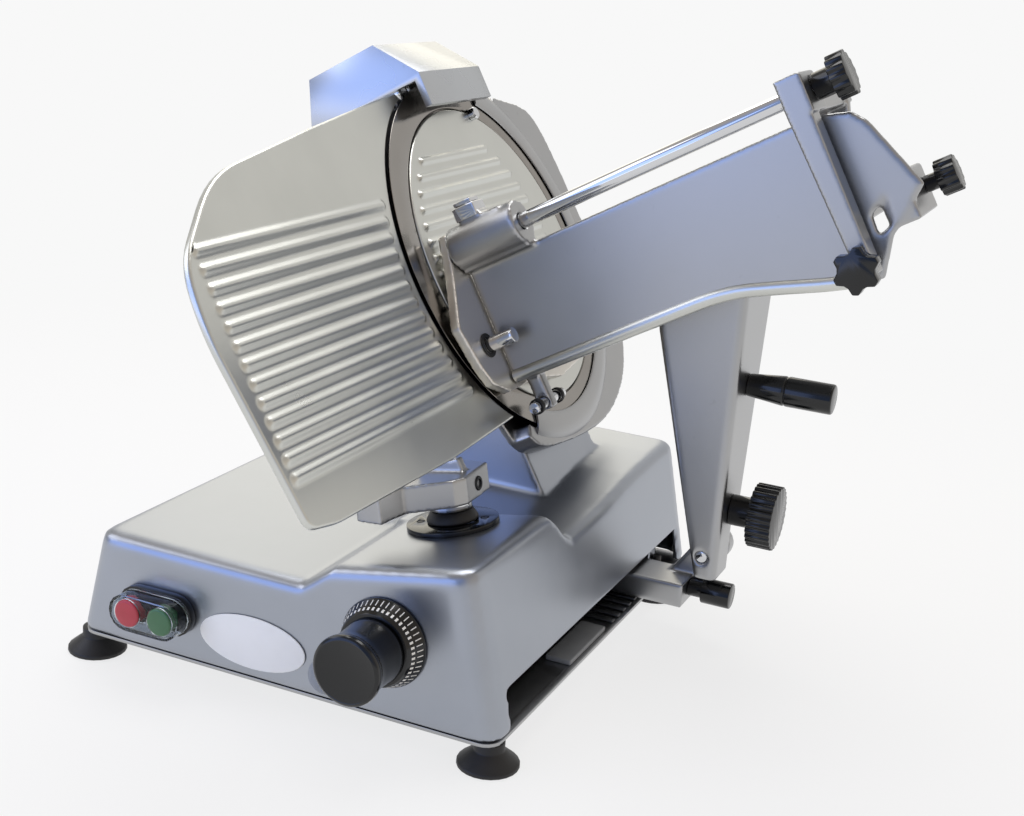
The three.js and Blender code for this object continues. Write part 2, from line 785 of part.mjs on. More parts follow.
// Boot flange, boot, collar and the gauge support with its slide
const flangeScrewAlong = 22.7;
const flangeScrewAway = 7;
const flangeScrews = [[flangeScrewAlong, flangeScrewAway], [-flangeScrewAlong, -flangeScrewAway]];
const flangeFoot = seatGap;
const flangeTop = flangeFoot + flangeThickness;
function bootFlange() {
  const holes = flangeScrews.map(([x, y]) => circleAt(x, y, flangeScrewRadius + seatGap));
  return plate(circleAt(0, 0, flangeRadius, 36), flangeFoot, flangeTop, [postSlot, ...holes]);
}
piece('boot_flange', bootFlange(), blackPlastic(), deckFrame);
flangeScrews.forEach(([x, y], i) => piece(`boot_flange_screw_${i + 1}`, rod(
  flangeScrewRadius, flangeFoot, flangeTop, 12).translate(x, y, 0), darkSteel(), deckFrame));
const bootFoot = flangeTop + seatGap;
const bootBrim = 2;
const postBore = postRadius + seatGap;
piece('boot', turned([
  [postBore, bootFoot], [gaiterRadius, bootFoot], [gaiterRadius, bootFoot + bootBrim],
  [collarRadius, collarBottom], [postBore, collarBottom], [postBore, bootFoot]], 28),
blackRubber(), deckFrame);
piece('collar', tube(collarRadius, postBore, collarBottom + seatGap, collarTop, 28),
  chromedSteel(), deckFrame);
const supportFoot = collarTop + seatGap;
const supportTop = supportFoot + supportBlockHeight;
const carrierHalf = 15;
const followerBarHalf = 5;
const followerBarBack = 3;
const gaugeBack = -(gaugeOpening + gaugeThickness);
const gaugeRimBack = -(gaugeOpening + gaugeRimDepth);
const supportCornerX = 23;
const supportCornerY = 33;
const supportToeX = -41;
const supportToeY = -64;
const supportOutlineShares = [
  [1, 1, 1, 1], [0.44, 1, 1.1, 1], [0.32, 1, 0.69, 1], [0.78, 0, 0.41, 1], [1, 0, 0.25, 1],
  [0.91, 0, 0.73, 0], [0.1, 1, 1, 0], [0.51, 1, 0.67, 0], [0.51, 1, 0.44, 1], [0.95, 1, 0.67, 1]];
const supportOutline = supportOutlineShares.map(([shareX, toToeX, shareY, toToeY]) => [
  shareX * (toToeX ? supportToeX : supportCornerX), shareY * (toToeY ? supportToeY : supportCornerY)]);
const webCentre = knifeCentreY - postY;
const webHalf = supportWebThickness / 2;
const webTop = 81;
const webFootDrop = 13;
const webFootReach = 38;
const webShoulder = 10;
const webLip = 14;
const webLipGap = 1.4;
const braceLeft = 20;
const braceRight = 50;
const braceThickness = 9;
function followerPlace() {
  const centre = new THREE.Vector3(dialX, 0, dialZ)
    .addScaledVector(deckAlong, camRestRadius).sub(deckPost);
  return [centre.dot(deckAlong), centre.dot(deckUp)];
}
function gaugeSupport() {
  const [followerAlong, followerUp] = followerPlace();
  const post = rod(postRadius, -(postReach + slideLugHalf - 2 * sinkIn), supportTop - sinkIn, 24);
  const top = plate(supportOutline, supportFoot, supportTop);
  const carrier = block(
    -carrierHalf, carrierHalf, -postRadius, slideRodY + slideLugHalf,
    -(postReach + slideLugHalf), -(postReach - slideLugHalf));
  const bore = alongAxis(rod(
    slideRodRadius + runningGap, -(carrierHalf + sinkIn), carrierHalf + sinkIn), rightwards)
    .translate(0, slideRodY, -postReach);
  const barFront = camRear + followerBarBack - postY;
  const bar = block(
    -carrierHalf, followerAlong + followerBarHalf, barFront, 0,
    followerUp - followerBarHalf, followerUp + followerBarHalf);
  const follower = alongAxis(rod(
    followerRadius, camFrontY - postY + sinkIn, barFront + sinkIn, 12), away)
    .translate(followerAlong, 0, followerUp);
  const webBottom = -(gaugeBottom + webLipGap);
  const rimCover = gaugeRimBack - sinkIn;
  const web = plate([
    [rimCover, webLip - gaugeBottom], [rimCover, webBottom], [gaugeBack + sinkIn, webBottom],
    [gaugeBack + sinkIn, -(gaugeBottom + webFootDrop)],
    [gaugeBack - webFootReach, -(gaugeBottom + webFootDrop)],
    [gaugeBack - webShoulder, webTop - gaugeBottom], [gaugeBack - seatGap, webTop - gaugeBottom],
    [gaugeBack - seatGap, webLip - gaugeBottom]], webCentre - webHalf, webCentre + webHalf);
  const brace = block(
    gaugeBack - braceThickness, gaugeBack - seatGap, webTop - webLip - gaugeBottom,
    webTop - gaugeBottom, webCentre - braceLeft, webCentre + braceRight);
  return joined(
    inDeck(joined(cut(joined(post, carrier), bore), top, bar, follower)),
    inTable(joined(web, brace)));
}
piece('gauge_support', gaugeSupport(), castAluminium());
piece('gauge_slide_rod', alongAxis(rod(
  slideRodRadius, seatGap - slideLugReach, slideLugReach - seatGap, 16), rightwards)
  .translate(0, slideRodY, -postReach), chromedSteel(), deckFrame);

// Gauge plate: a thick plate round the knife, with an inset rim behind and ribs in front
const gaugeShoulder = 57;
const gaugeTip = 13;
const gaugeFootLeft = 386;
const gaugeFootTop = 116;
const gaugeFootCorner = 357;
const gaugeFootHeight = 122;
const gaugeArcFoot = 141;
const gaugeCrownRight = 201;
const gaugeCrownHeight = 127;
const gaugeCrownLeft = 332;
const gaugeCrownDrop = 106;
const gaugeShoulderStep = 7;
const gaugeArcFootHeight = 118;
const gaugeArcTopHeight = 144;
const rimInset = 6;
const rimArcInset = 5;
const hollowInset = 12;
const hollowArcInset = 11;
// Height at which the arc of a rim set in by some distance starts or ends
function arcDegrees(height, radius) {
  return THREE.MathUtils.radToDeg(Math.asin(height / radius));
}
function gaugeEdge(inset, arcInset, steps) {
  const radius = gaugeArcRadius + arcInset;
  const foot = arcDegrees(gaugeArcFootHeight - inset, radius);
  const top = arcDegrees(gaugeArcTopHeight - 2 * inset, radius);
  return [
    [inset - gaugeLeft + gaugeShoulderStep, gaugeShoulder - inset / 2],
    [inset - gaugeLeft, gaugeTip],
    [inset - gaugeFootLeft, inset - gaugeFootTop],
    [-gaugeFootCorner, inset - gaugeFootHeight], [-gaugeArcFoot, inset - gaugeBottom],
    ...arc(0, 0, radius, 180 + foot, 180 - top, steps),
    [-gaugeCrownRight, gaugeCrownHeight - inset],
    [inset / 3 - gaugeCrownLeft, gaugeCrownDrop - inset]];
}
const gaugeFace = -gaugeOpening;
const gaugeRibProud = 1.6;
function gaugePlate() {
  const body = plate(gaugeEdge(0, 0, 22), gaugeBack, gaugeFace);
  const rim = plate(
    gaugeEdge(rimInset, rimArcInset, 18), gaugeRimBack, gaugeBack + sinkIn);
  const hollow = plate(
    gaugeEdge(hollowInset, hollowArcInset, 18), gaugeRimBack - sinkIn, gaugeBack);
  const ribs = Array.from({ length: gaugeRibCount }, (_, i) => {
    const height = gaugeRibTop - i * ribPitch;
    const arcReach = Math.sqrt((gaugeArcRadius + gaugeRibInset) ** 2 - height ** 2);
    const half = (gaugeRibLeft - arcReach) / 2;
    return plate(
      capsule(-(gaugeRibLeft + arcReach) / 2, height, half, ribWidth / 2, 4),
      gaugeFace - sinkIn, gaugeFace + gaugeRibProud);
  });
  return joined(body, cut(rim, hollow), ...ribs);
}
piece('gauge_plate', gaugePlate(), machinedAluminium(), knifeFrame);

// Knife, its cover, shaft and drive
const knifeEdgeThickness = 0.5;
const knifeDishWidth = 8;
const knifeDishStart = annulusInnerRadius - knifeDishWidth;
const knifeRecessEdge = annulusInnerRadius - 2 * sinkIn;
piece('knife', turned([
  [knifeBore, -knifeDepth], [knifeDishStart, -knifeDepth],
  [bevelInnerRadius, -bevelInnerDepth], [knifeRadius, -knifeEdgeThickness], [knifeRadius, 0],
  [annulusInnerRadius, 0], [knifeRecessEdge, -knifeRecessDepth],
  [knifeBore, -knifeRecessDepth], [knifeBore, -knifeDepth]], 72),
polishedSteel(), knifeFrame);
const coverFloor = seatGap - knifeRecessDepth;
const coverFootRadius = annulusInnerRadius - cutOverrun;
const ribSink = 0.4;
const coverEdgeRadius = coverRadius - ribSink;
const coverEdgeLevel = -ribSink;
const socketDepth = 2.4;
function coverRibs(base, proud) {
  return Array.from({ length: coverRibCount }, (_, i) => {
    const height = (i - (coverRibCount - 1) / 2) * ribPitch;
    const reach = Math.sqrt(coverRibReach ** 2 - height ** 2);
    return plate(capsule(0, height, reach + ribWidth / 2, ribWidth / 2, 4), base, proud);
  });
}
const plainCover = turned([
  [0, coverFloor], [coverFootRadius, coverFloor],
  [coverEdgeRadius, coverEdgeLevel], [coverEdgeRadius, coverProud], [0, coverProud]], 72);
const coverSocket = rod(tieRodRadius + seatGap, coverFloor - sinkIn, coverFloor + socketDepth, 12);
piece('knife_cover', joined(cut(plainCover, coverSocket),
  ...coverRibs(coverProud - ribSink, coverProud + ribHeight)), castAluminium(), knifeFrame);
const flangeFront = -knifeDepth - seatGap;
const flangeRear = flangeFront - shaftFlangeThickness;
const shaftBore = tieRodRadius + runningGap;
const shaftNose = -knifeRecessDepth - seatGap;
piece('knife_shaft', turned([
  [shaftBore, -shaftRear], [shaftRadius, -shaftRear], [shaftRadius, flangeRear],
  [shaftFlangeRadius, flangeRear], [shaftFlangeRadius, flangeFront],
  [knifeBore - seatGap, flangeFront], [knifeBore - seatGap, shaftNose],
  [shaftBore, shaftNose], [shaftBore, -shaftRear]], 32), darkSteel(), knifeFrame);
const bearingBore = shaftRadius + seatGap;
piece('front_bearing', tube(
  bearingOuterRadius, bearingBore, -(housingFront + bearingWidth), -housingFront, 24),
polishedSteel(), knifeFrame);
piece('rear_bearing', tube(
  bearingOuterRadius, bearingBore, -hubRear, -(hubRear - bearingWidth), 24),
polishedSteel(), knifeFrame);
const pulleyFlange = 2;
const pulleyFlangeWidth = 1.5;
const pulleyStep = -pulleyRear + pulleyFlangeWidth;
piece('knife_pulley', turned([
  [bearingBore, -pulleyRear], [pulleyRadius + pulleyFlange, -pulleyRear],
  [pulleyRadius + pulleyFlange, pulleyStep], [pulleyRadius, pulleyStep],
  [pulleyRadius, -pulleyFront], [bearingBore, -pulleyFront], [bearingBore, -pulleyRear]], 40),
darkSteel(), knifeFrame);
const motorFront = -(pulleyRear + motorGap);
const motorBack = motorFront - motorLength;
const motorShaftRadius = 4;
const motorShaftRear = motorBack + 2 * sinkIn;
const motorBore = motorShaftRadius + seatGap;
function atMotor(geometry) {
  return geometry.translate(0, -motorDrop, 0);
}
piece('motor', atMotor(turned([
  [motorBore, motorBack], [motorRadius, motorBack], [motorRadius, motorFront],
  [motorBore, motorFront], [motorBore, motorBack]], 32)), greyPlastic(), knifeFrame);
piece('motor_pulley', atMotor(turned([
  [0, motorShaftRear], [motorShaftRadius, motorShaftRear],
  [motorShaftRadius, -pulleyRear], [motorPulleyRadius + pulleyFlange, -pulleyRear],
  [motorPulleyRadius + pulleyFlange, pulleyStep], [motorPulleyRadius, pulleyStep],
  [motorPulleyRadius, -pulleyFront], [0, -pulleyFront]], 24)), darkSteel(), knifeFrame);
// Belt path round two pulleys, one above the other
function beltPath(grow) {
  const large = pulleyRadius + seatGap + grow;
  const small = motorPulleyRadius + seatGap + grow;
  const lean = THREE.MathUtils.radToDeg(Math.asin((large - small) / motorDrop));
  return [
    ...arc(0, 0, large, -lean, 180 + lean, 20),
    ...arc(0, -motorDrop, small, 180 + lean, 360 - lean, 10)];
}
const beltBack = pulleyStep + runningGap;
piece('belt', plate(
  beltPath(beltThickness), beltBack, beltBack + beltWidth, [beltPath(0)]),
blackRubber(), knifeFrame);
const cradleLeft = -148;
const cradleRight = -104;
const cradleHalf = 30;
const cradleTop = 60;
const cradleOverrun = 60;
piece('motor_cradle', cut(
  block(cradleLeft, cradleRight, knifeCentreY - cradleHalf, knifeCentreY + cradleHalf,
    baseUnderside, cradleTop),
  inKnife(atMotor(rod(
    motorRadius + seatGap, motorBack - cradleOverrun, motorFront + cradleOverrun, 32)))),
darkSteel());
const rearCoverThickness = 3;
const rearCoverFront = -(housingRear + seatGap);
const rearCoverBack = rearCoverFront - rearCoverThickness;
const knobStemRadius = 7;
piece('housing_rear_cover', tube(
  housingRadius, knobStemRadius + seatGap, rearCoverBack, rearCoverFront, 40),
castAluminium(), knifeFrame);
const tieKnobFront = rearCoverBack - seatGap;
const tieKnobFlute = 1.4;
function tieRodWithKnob() {
  const grip = plate(
    fluted(tieKnobRadius, tieKnobFlute, 12), tieKnobFront - tieKnobLength, tieKnobFront);
  return joined(grip, rod(tieRodRadius, tieKnobFront - sinkIn, coverFloor + 2 * sinkIn, 12));
}
piece('tie_rod_knob', tieRodWithKnob(), blackPlastic(), knifeFrame);

// Ring guard behind and round the knife
const guardBack = seatGap - housingFront;
const guardFloor = -16;
const guardRim = -1;
const guardRunningGap = 2.5;
const guardClear = knifeRadius + guardRunningGap;
const guardBore = shaftFlangeRadius + guardRunningGap;
const guardSideWidth = 40;
const guardFootWidth = 14;
const guardReach = knifeRadius + guardSideWidth;
const guardDrop = knifeRadius + guardFootWidth;
const guardOuterShares = [
  [0.526, 0.793], [0.826, 0.695], [0.889, 0.591], [0.926, 0.305], [0.937, 0.03],
  [0.989, -0.183], [1, -0.366], [0.884, -0.61], [0.71, -0.823], [0.474, -0.951], [0.221, -1],
  [-0.168, -0.976], [-0.374, -0.927], [-0.432, -0.866]];
const guardCrownShares = [[-0.316, 0.817], [0, 0.878], [0.316, 0.841]];
function rounded(points, steps) {
  const curve = new THREE.CatmullRomCurve3(points.map(([x, y]) => new THREE.Vector3(x, y, 0)));
  return curve.getPoints(steps).map(({ x, y }) => [x, y]);
}
function guardPoints(shares) {
  return shares.map(([x, y]) => [x * guardReach, y * guardDrop]);
}
const guardOutline = rounded(guardPoints(guardOuterShares), 40);
function ringGuard() {
  const hiddenArc = arc(0, 0, guardClear - cutOverrun, 238, 118, 20).slice(1);
  const back = plate(
    [...guardOutline, ...hiddenArc, ...guardPoints(guardCrownShares)], guardBack, guardFloor);
  const rim = plate(guardOutline, guardBack, guardRim);
  const knifeSpace = rod(guardClear, guardFloor, guardRim + sinkIn, 72);
  const bore = rod(guardBore, guardBack - sinkIn, guardRim, 32);
  return cut(joined(back, rim), knifeSpace, bore);
}
piece('ring_guard', ringGuard(), castAluminium(), knifeFrame);

// Sharpener: hood on a mount above the housing, with a stone on its shaft
const hoodLegWidth = 6;
const hoodLegInner = hoodNear - hoodLegWidth;
const hoodShoulder = 152;
const hoodCrownNear = -9;
const hoodCrownFar = -74;
const hoodLegDrop = 2;
const hoodOutline = [
  [-hoodFar, hoodBottom], [hoodLegInner, hoodBottom - hoodLegDrop], [hoodLegInner, hoodLegBottom],
  [hoodNear, hoodLegBottom], [hoodNear, hoodShoulder], [hoodCrownNear, hoodTop],
  [hoodCrownFar, hoodTop]];
const hoodInside = hoodLegInner - hoodWall;
const hoodHollow = [
  [1.5 * hoodWall - hoodFar, hoodBottom - hoodWall], [hoodInside, hoodBottom - hoodWall],
  [hoodInside, hoodShoulder + hoodWall], [hoodCrownNear - hoodWall / 2, hoodTop - hoodWall],
  [hoodCrownFar + hoodWall, hoodTop - hoodWall]];
const hoodEarThickness = 6;
const hoodEarRadius = 8;
const hoodEarRise = 6;
function sharpenerHood() {
  const shell = cut(
    plate(hoodOutline, -hoodRear, hoodFront),
    plate(hoodHollow, hoodWall - hoodRear, hoodFront - hoodWall));
  const ears = [-hoodRear, hoodFront - hoodEarThickness].map((z) => plate([
    ...arc(-hoodPinFar, hoodPinHeight, hoodEarRadius, 180, 360, 12),
    [hoodEarRadius - hoodPinFar, hoodBottom + hoodEarRise],
    [sinkIn - hoodPinFar, hoodBottom + hoodEarRise]], z, z + hoodEarThickness));
  const pinBore = rod(
    hoodPinRadius + seatGap, -(hoodRear + sinkIn), hoodFront + sinkIn, 16)
    .translate(-hoodPinFar, hoodPinHeight, 0);
  return cut(joined(shell, ...ears), pinBore);
}
piece('sharpener_hood', sharpenerHood(), castAluminium(), tableFrame);
piece('hood_pin', rod(hoodPinRadius, -hoodRear, hoodFront, 16)
  .translate(-hoodPinFar, hoodPinHeight, 0), chromedSteel(), tableFrame);
const mountHalf = hoodFront - hoodEarThickness - slidingGap;
const mountShelfNear = -24;
const mountPostNear = -34;
const mountPostFar = -70;
const mountPostHalf = 20;
const mountKnuckle = 7;
const stonePostFar = -46;
const stonePostFront = 2;
const stonePostRear = -14;
const stonePostTop = 8;
const stoneRadius = 14;
const stoneBack = -24;
const stoneFrontOffset = -6;
const stoneHeight = 160;
const stoneLength = 10;
const stoneNeck = 4;
const stoneShaftRadius = 4;
const stoneShaftFar = -48;
function sharpenerMount() {
  const shelf = plate([
    [-hoodPinFar, mountPlateBottom], [mountShelfNear, mountPlateBottom],
    [mountShelfNear, mountPlateTop], [-hoodPinFar, mountPlateTop]], -mountHalf, mountHalf);
  const knuckle = rod(mountKnuckle, -mountHalf, mountHalf, 20)
    .translate(-hoodPinFar, hoodPinHeight, 0);
  const post = block(
    mountPostFar, mountPostNear, housingRadius - sinkIn, mountPlateBottom + sinkIn,
    -mountPostHalf, mountPostHalf);
  const stonePost = block(
    stonePostFar, mountPostNear, mountPlateTop - sinkIn, stoneHeight + stonePostTop,
    stonePostRear, stonePostFront);
  const pinBore = rod(
    hoodPinRadius + seatGap, -(mountHalf + sinkIn), mountHalf + sinkIn, 16)
    .translate(-hoodPinFar, hoodPinHeight, 0);
  const drum = alongAxis(
    rod(housingRadius + seatGap, -hoodFar, mountShelfNear + cutOverrun, 60), rightwards);
  const stoneBore = alongAxis(rod(
    stoneShaftRadius + seatGap, stoneShaftFar - sinkIn, stoneBack, 16), rightwards)
    .translate(0, stoneHeight, stoneFrontOffset);
  return cut(joined(shelf, knuckle, post, stonePost), pinBore, drum, stoneBore);
}
piece('sharpener_mount', sharpenerMount(), castAluminium(), tableFrame);
const stoneFoot = stoneBack - stoneNeck;
const stoneFace = stoneFoot + stoneLength;
piece('grinding_stone', alongAxis(turned([
  [0, stoneShaftFar], [stoneShaftRadius, stoneShaftFar], [stoneShaftRadius, stoneFoot],
  [stoneRadius, stoneFoot], [stoneRadius, stoneFace], [0, stoneFace]], 28), rightwards)
  .translate(0, stoneHeight, stoneFrontOffset), abrasive(), tableFrame);

// Carriage rail, guide bar and carriage foot
piece('carriage_rail', alongAxis(rod(railRadius, railFront, railRear, 24), away)
  .translate(railX, 0, railZ), chromedSteel());
const guideHalf = guideBarWidth / 2;
const guideTop = guideBarZ + guideBarHeight / 2;
piece('guide_bar', block(
  railX - guideHalf, railX + guideHalf, baseFront + baseWall + seatGap,
  baseRear - baseWall - seatGap, guideBarZ - guideBarHeight / 2, guideTop), darkSteel());
const lugRoot = 20;
const lugFoot = tongueEnd - lugRoot;
function carriageFoot() {
  const hub = alongAxis(rod(hubWallRadius, carriageFront, carriageHubRear, 32), away)
    .translate(railX, 0, railZ);
  const neck = block(
    railX - hubWallRadius, railX + hubWallRadius, carriageFront, carriageHubRear,
    tongueBottom, railZ);
  const tongue = block(
    railX, tongueEnd, carriageFront, carriageRear, tongueBottom, tongueTop);
  const lug = plate([
    [lugFoot, tongueBottom], [tongueEnd, tongueBottom],
    ...arc(pivotX, pivotZ, lugRadius, -30, 180, 14), [lugFoot, tongueTop]],
  -carriageRear, -lugFront).rotateX(Math.PI / 2);
  const bore = alongAxis(rod(
    railRadius + slidingGap / 2, carriageFront - sinkIn, carriageHubRear + sinkIn, 24), away)
    .translate(railX, 0, railZ);
  const guide = block(
    railX - guideHalf - slidingGap, railX + guideHalf + slidingGap, carriageFront - sinkIn,
    carriageRear + sinkIn, tongueBottom - sinkIn, guideTop + slidingGap);
  const pinBore = alongAxis(rod(
    pivotPinRadius + seatGap, lugFront - sinkIn, carriageRear + sinkIn, 16), away)
    .translate(pivotX, 0, pivotZ);
  return cut(joined(hub, neck, tongue, lug), bore, guide, pinBore);
}
piece('carriage_foot', carriageFoot(), castAluminium());

// Arm: a tapered casting, hollow above its solid root
function armSection(z, inset) {
  const share = (z - armBottom) / (armTopRight - armBottom);
  const leftShare = Math.min((z - armBottom) / (armLeftTopZ - armBottom), 1.1);
  const left = armLeftBottom + (armLeftTop - armLeftBottom) * leftShare + inset;
  const right = armRight - inset;
  const front = armFront + inset;
  const rear = armRearBottom + (armRearTop - armRearBottom) * share - inset;
  return roundedRectangle(left, right, front, rear, armCorner, 3).map(([x, y]) => [x, y, z]);
}
const armTopRise = 5;
const armTop = knifeCentreZ + armTopRise;
const armLevelShares = [0, 0.21, 0.42, 0.625, 0.82, 1];
const armHollowTop = armTop + armWall;
const armHollowMiddle = 200;
const studDepth = 15;
function armCasting() {
  const outer = loft(armLevelShares.map(
    (share) => armSection(armBottom + share * (armTop - armBottom), 0)));
  const hollow = loft([armSolidTop, armHollowMiddle, armHollowTop].map(
    (z) => armSection(z, armWall)));
  const underTable = inTable(block(
    -knifeCentreY, knifeCentreY, -(floorTop + floorThickness + seatGap), knifeCentreY,
    -knifeCentreY, knifeCentreY));
  const notch = block(
    armLeftTop, armRight + sinkIn, lugFront - runningGap, armRearTop, armBottom - sinkIn,
    armNotchTop);
  const pinBore = alongAxis(rod(
    pivotPinRadius + seatGap, armFront - sinkIn, armRearTop, 16), away)
    .translate(pivotX, 0, pivotZ);
  const clampBore = alongAxis(rod(
    pivotPinRadius + seatGap, armRight - studDepth - sinkIn, armRight + sinkIn, 16), rightwards)
    .translate(0, clampKnobY, clampKnobZ);
  return cut(outer, hollow, underTable, notch, pinBore, clampBore);
}
piece('arm', armCasting(), castAluminium());
piece('arm_pivot_pin', alongAxis(rod(
  pivotPinRadius, armFront + 2 * sinkIn, carriageRear - seatGap, 16), away)
  .translate(pivotX, 0, pivotZ), chromedSteel());
const handleFoot = armRight + seatGap;
const handleGroove = 30;
const handleGrooveDepth = 1;
const handleTip = handleFoot + handleLength;
const handleRound = 3;
piece('handle', alongAxis(turned([
  [0, handleFoot], [handleRadius - handleRound, handleFoot],
  [handleRadius, handleFoot + handleGroove - handleGrooveDepth],
  [handleRadius - handleGrooveDepth, handleFoot + handleGroove],
  [handleRadius, handleFoot + handleGroove + handleGrooveDepth],
  [handleRadius, handleTip - handleGrooveDepth], [handleRadius - handleGrooveDepth, handleTip],
  [0, handleTip]], 28), rightwards).translate(0, handleY, handleZ), blackPlastic());
const clampFoot = armRight + seatGap;
const clampFace = clampFoot + clampStemLength;
const clampFlute = 1.3;
function clampKnob() {
  const stud = rod(pivotPinRadius, armRight - studDepth, clampFoot + 2 * sinkIn, 16);
  const stem = rod(clampStemRadius, clampFoot, clampFace + sinkIn, 24);
  const cap = plate(fluted(clampCapRadius, clampFlute, 28), clampFace, clampFace + clampCapLength);
  return alongAxis(joined(stud, stem, cap), rightwards).translate(0, clampKnobY, clampKnobZ);
}
piece('table_clamp_knob', clampKnob(), blackPlastic());
const lockFoot = tongueEnd + seatGap;
const lockNeck = lockFoot + lockCollarLength;
function lockKnob() {
  const collar = rod(lockCollarRadius, lockFoot, lockNeck + sinkIn, 20);
  const cap = rod(lockKnobRadius, lockNeck, lockNeck + lockKnobLength, 28);
  return alongAxis(joined(collar, cap), rightwards).translate(0, lockKnobY, lockKnobZ);
}
piece('carriage_lock_knob', lockKnob(), blackPlastic());

// Product table: floor, fence wall and rod housing cast together, with a near end plate
const floorBottom = -(floorTop + floorThickness);
const floorTopOutline = [
  [tableNear, -floorTop], [floorDipStart, -floorTop], [floorFar, -(floorTop + floorDip)]];
const floorOutline = [
  ...[...floorTopOutline].reverse(),
  ...floorTopOutline.map(([n, u]) => [n, u - floorThickness])];
const wallOverhang = 61;
const wallReach = pusherBarNear + wallOverhang;
const wallDrop = 119;
const wallDipStart = 182;
const wallFoot = 96;
const wallLowerShares = [
  [0.577, 0.824], [0.66, 0.89], [0.771, 1], [0.863, 1.05], [0.909, 0.84], [0.951, 0.748],
  [1, 0.63], [0.977, 0.437], [0.946, 0.185], [0.923, 0.1], [0.877, 0.059]];
const wallTopSetback = 5;
const wallTopStart = pusherBarNear - wallTopSetback;
const wallOutline = [
  [tableNear, -wallFoot], [wallDipStart, -wallFoot],
  ...wallLowerShares.map(([n, u]) => [n * wallReach, -u * wallDrop]),
  [wallTopStart, -fenceTop], [tableNear, -fenceTop]];
const strutOpening = [[0.92, 0.77], [0.925, 0.605], [0.886, 0.69], [0.884, 0.805]].map(
  ([n, u]) => [n * wallReach, -u * wallDrop]);
const cornerArmLength = 32;
const cornerArmNear = wallReach - cornerArmLength;
const cornerArmFoot = -96;
const cornerArmTop = -62;
const cornerBossSetback = 10;
const cornerBossN = wallReach - cornerBossSetback;
const cornerBossU = -78;
const cornerBossZ = 33;
const cornerKnobZ = 41;
const tableSaddle = 8;
const squareStart = 14;
const squareFoot = 8;
const squareTop = 22;
const bumperAlong = 20;
const bumperDrop = 121;
const bumperPinRadius = 4.5;
const bumperPinFar = 45;
const bumperPinNear = 99;
const bumperLugHalf = 6;
const bumperLugFar = 68;
const bumperLugNear = 80;
function productTable() {
  const wall = plate(wallOutline, fenceFace - fenceThickness, fenceFace, [strutOpening]);
  const floor = plate(floorOutline, fenceFace - floorDepth, fenceFace - sinkIn);
  const housing = alongAxis(
    rod(housingTubeRadius, tableNear, tableNear + housingTubeLength, 32), rightwards)
    .translate(0, rodHeight, rodOffset);
  const saddle = block(
    tableNear, tableNear + housingTubeLength, -(fenceTop + 2 * sinkIn), 2 * sinkIn,
    fenceFace - fenceThickness, fenceFace + tableSaddle);
  const square = block(
    tableNear + squareStart, tableNear + squareStart + rodBlockSize * 2,
    rodHeight + squareFoot, rodHeight + squareTop, rodOffset - rodBlockSize / 2,
    rodOffset + rodBlockSize / 2);
  const bore = alongAxis(rod(
    rodRadius + runningGap, tableNear + cutOverrun, tableNear + housingTubeLength + sinkIn, 24),
  rightwards).translate(0, rodHeight, rodOffset);
  const cornerArm = block(
    cornerArmNear, cornerBossN, cornerArmFoot, cornerArmTop, cornerBossZ - fenceThickness,
    fenceFace - sinkIn);
  const lug = block(
    bumperAlong - bumperLugHalf, bumperAlong + bumperLugHalf, -(bumperDrop + bumperLugHalf),
    floorBottom + sinkIn, bumperLugFar, bumperLugNear);
  const pinBore = rod(
    bumperPinRadius + seatGap, bumperLugFar - cutOverrun, bumperLugNear + cutOverrun, 16)
    .translate(bumperAlong, -bumperDrop, 0);
  return cut(joined(wall, floor, housing, saddle, square, cornerArm, lug), bore, pinBore);
}
piece('product_table', productTable(), castAluminium(), tableFrame);
const endPlateReach = 142;
const endPlateDrop = 111;
const endPlateShares = [
  [-0.725, 0.243], [-0.824, -0.027], [-1, -0.387], [-0.937, -0.694], [-0.887, -0.82],
  [-0.739, -0.919], [-0.408, -0.919], [-0.085, -1], [0.162, -0.964], [0.423, -0.9],
  [0.782, -0.883], [0.782, -0.793], [0.141, -0.757], [-0.282, -0.631], [-0.592, -0.36],
  [-0.634, -0.054]];
piece('end_plate', plate(
  endPlateShares.map(([x, y]) => [x * endPlateReach, y * endPlateDrop]),
  endPlateNear, endPlateNear + endPlateThickness), castAluminium(), knifeFrame);
const stopPinRadius = 5.8;
const stopPinLength = 24;
const stopPinLeft = 111;
const stopPinDrop = 63;
piece('stop_pin', rod(stopPinRadius, tableNear, tableNear + stopPinLength, 24)
  .translate(-stopPinLeft, -stopPinDrop, 0), chromedSteel(), knifeFrame);
piece('bumper_pin', rod(bumperPinRadius, bumperPinFar, bumperPinNear, 20)
  .translate(bumperAlong, -bumperDrop, 0), chromedSteel(), tableFrame);
const bumperRingWidth = 4;
const bumperRingInset = 5;
const bumperRingRadius = 6.2;
const bumperRings = [
  bumperPinFar + bumperRingInset + 2 * sinkIn, bumperPinNear - bumperRingInset - bumperRingWidth];
bumperRings.forEach((z, i) => piece(`bumper_ring_${i + 1}`, tube(
  bumperRingRadius, bumperPinRadius + seatGap, z, z + bumperRingWidth, 20)
  .translate(bumperAlong, -bumperDrop, 0), blackRubber(), tableFrame));

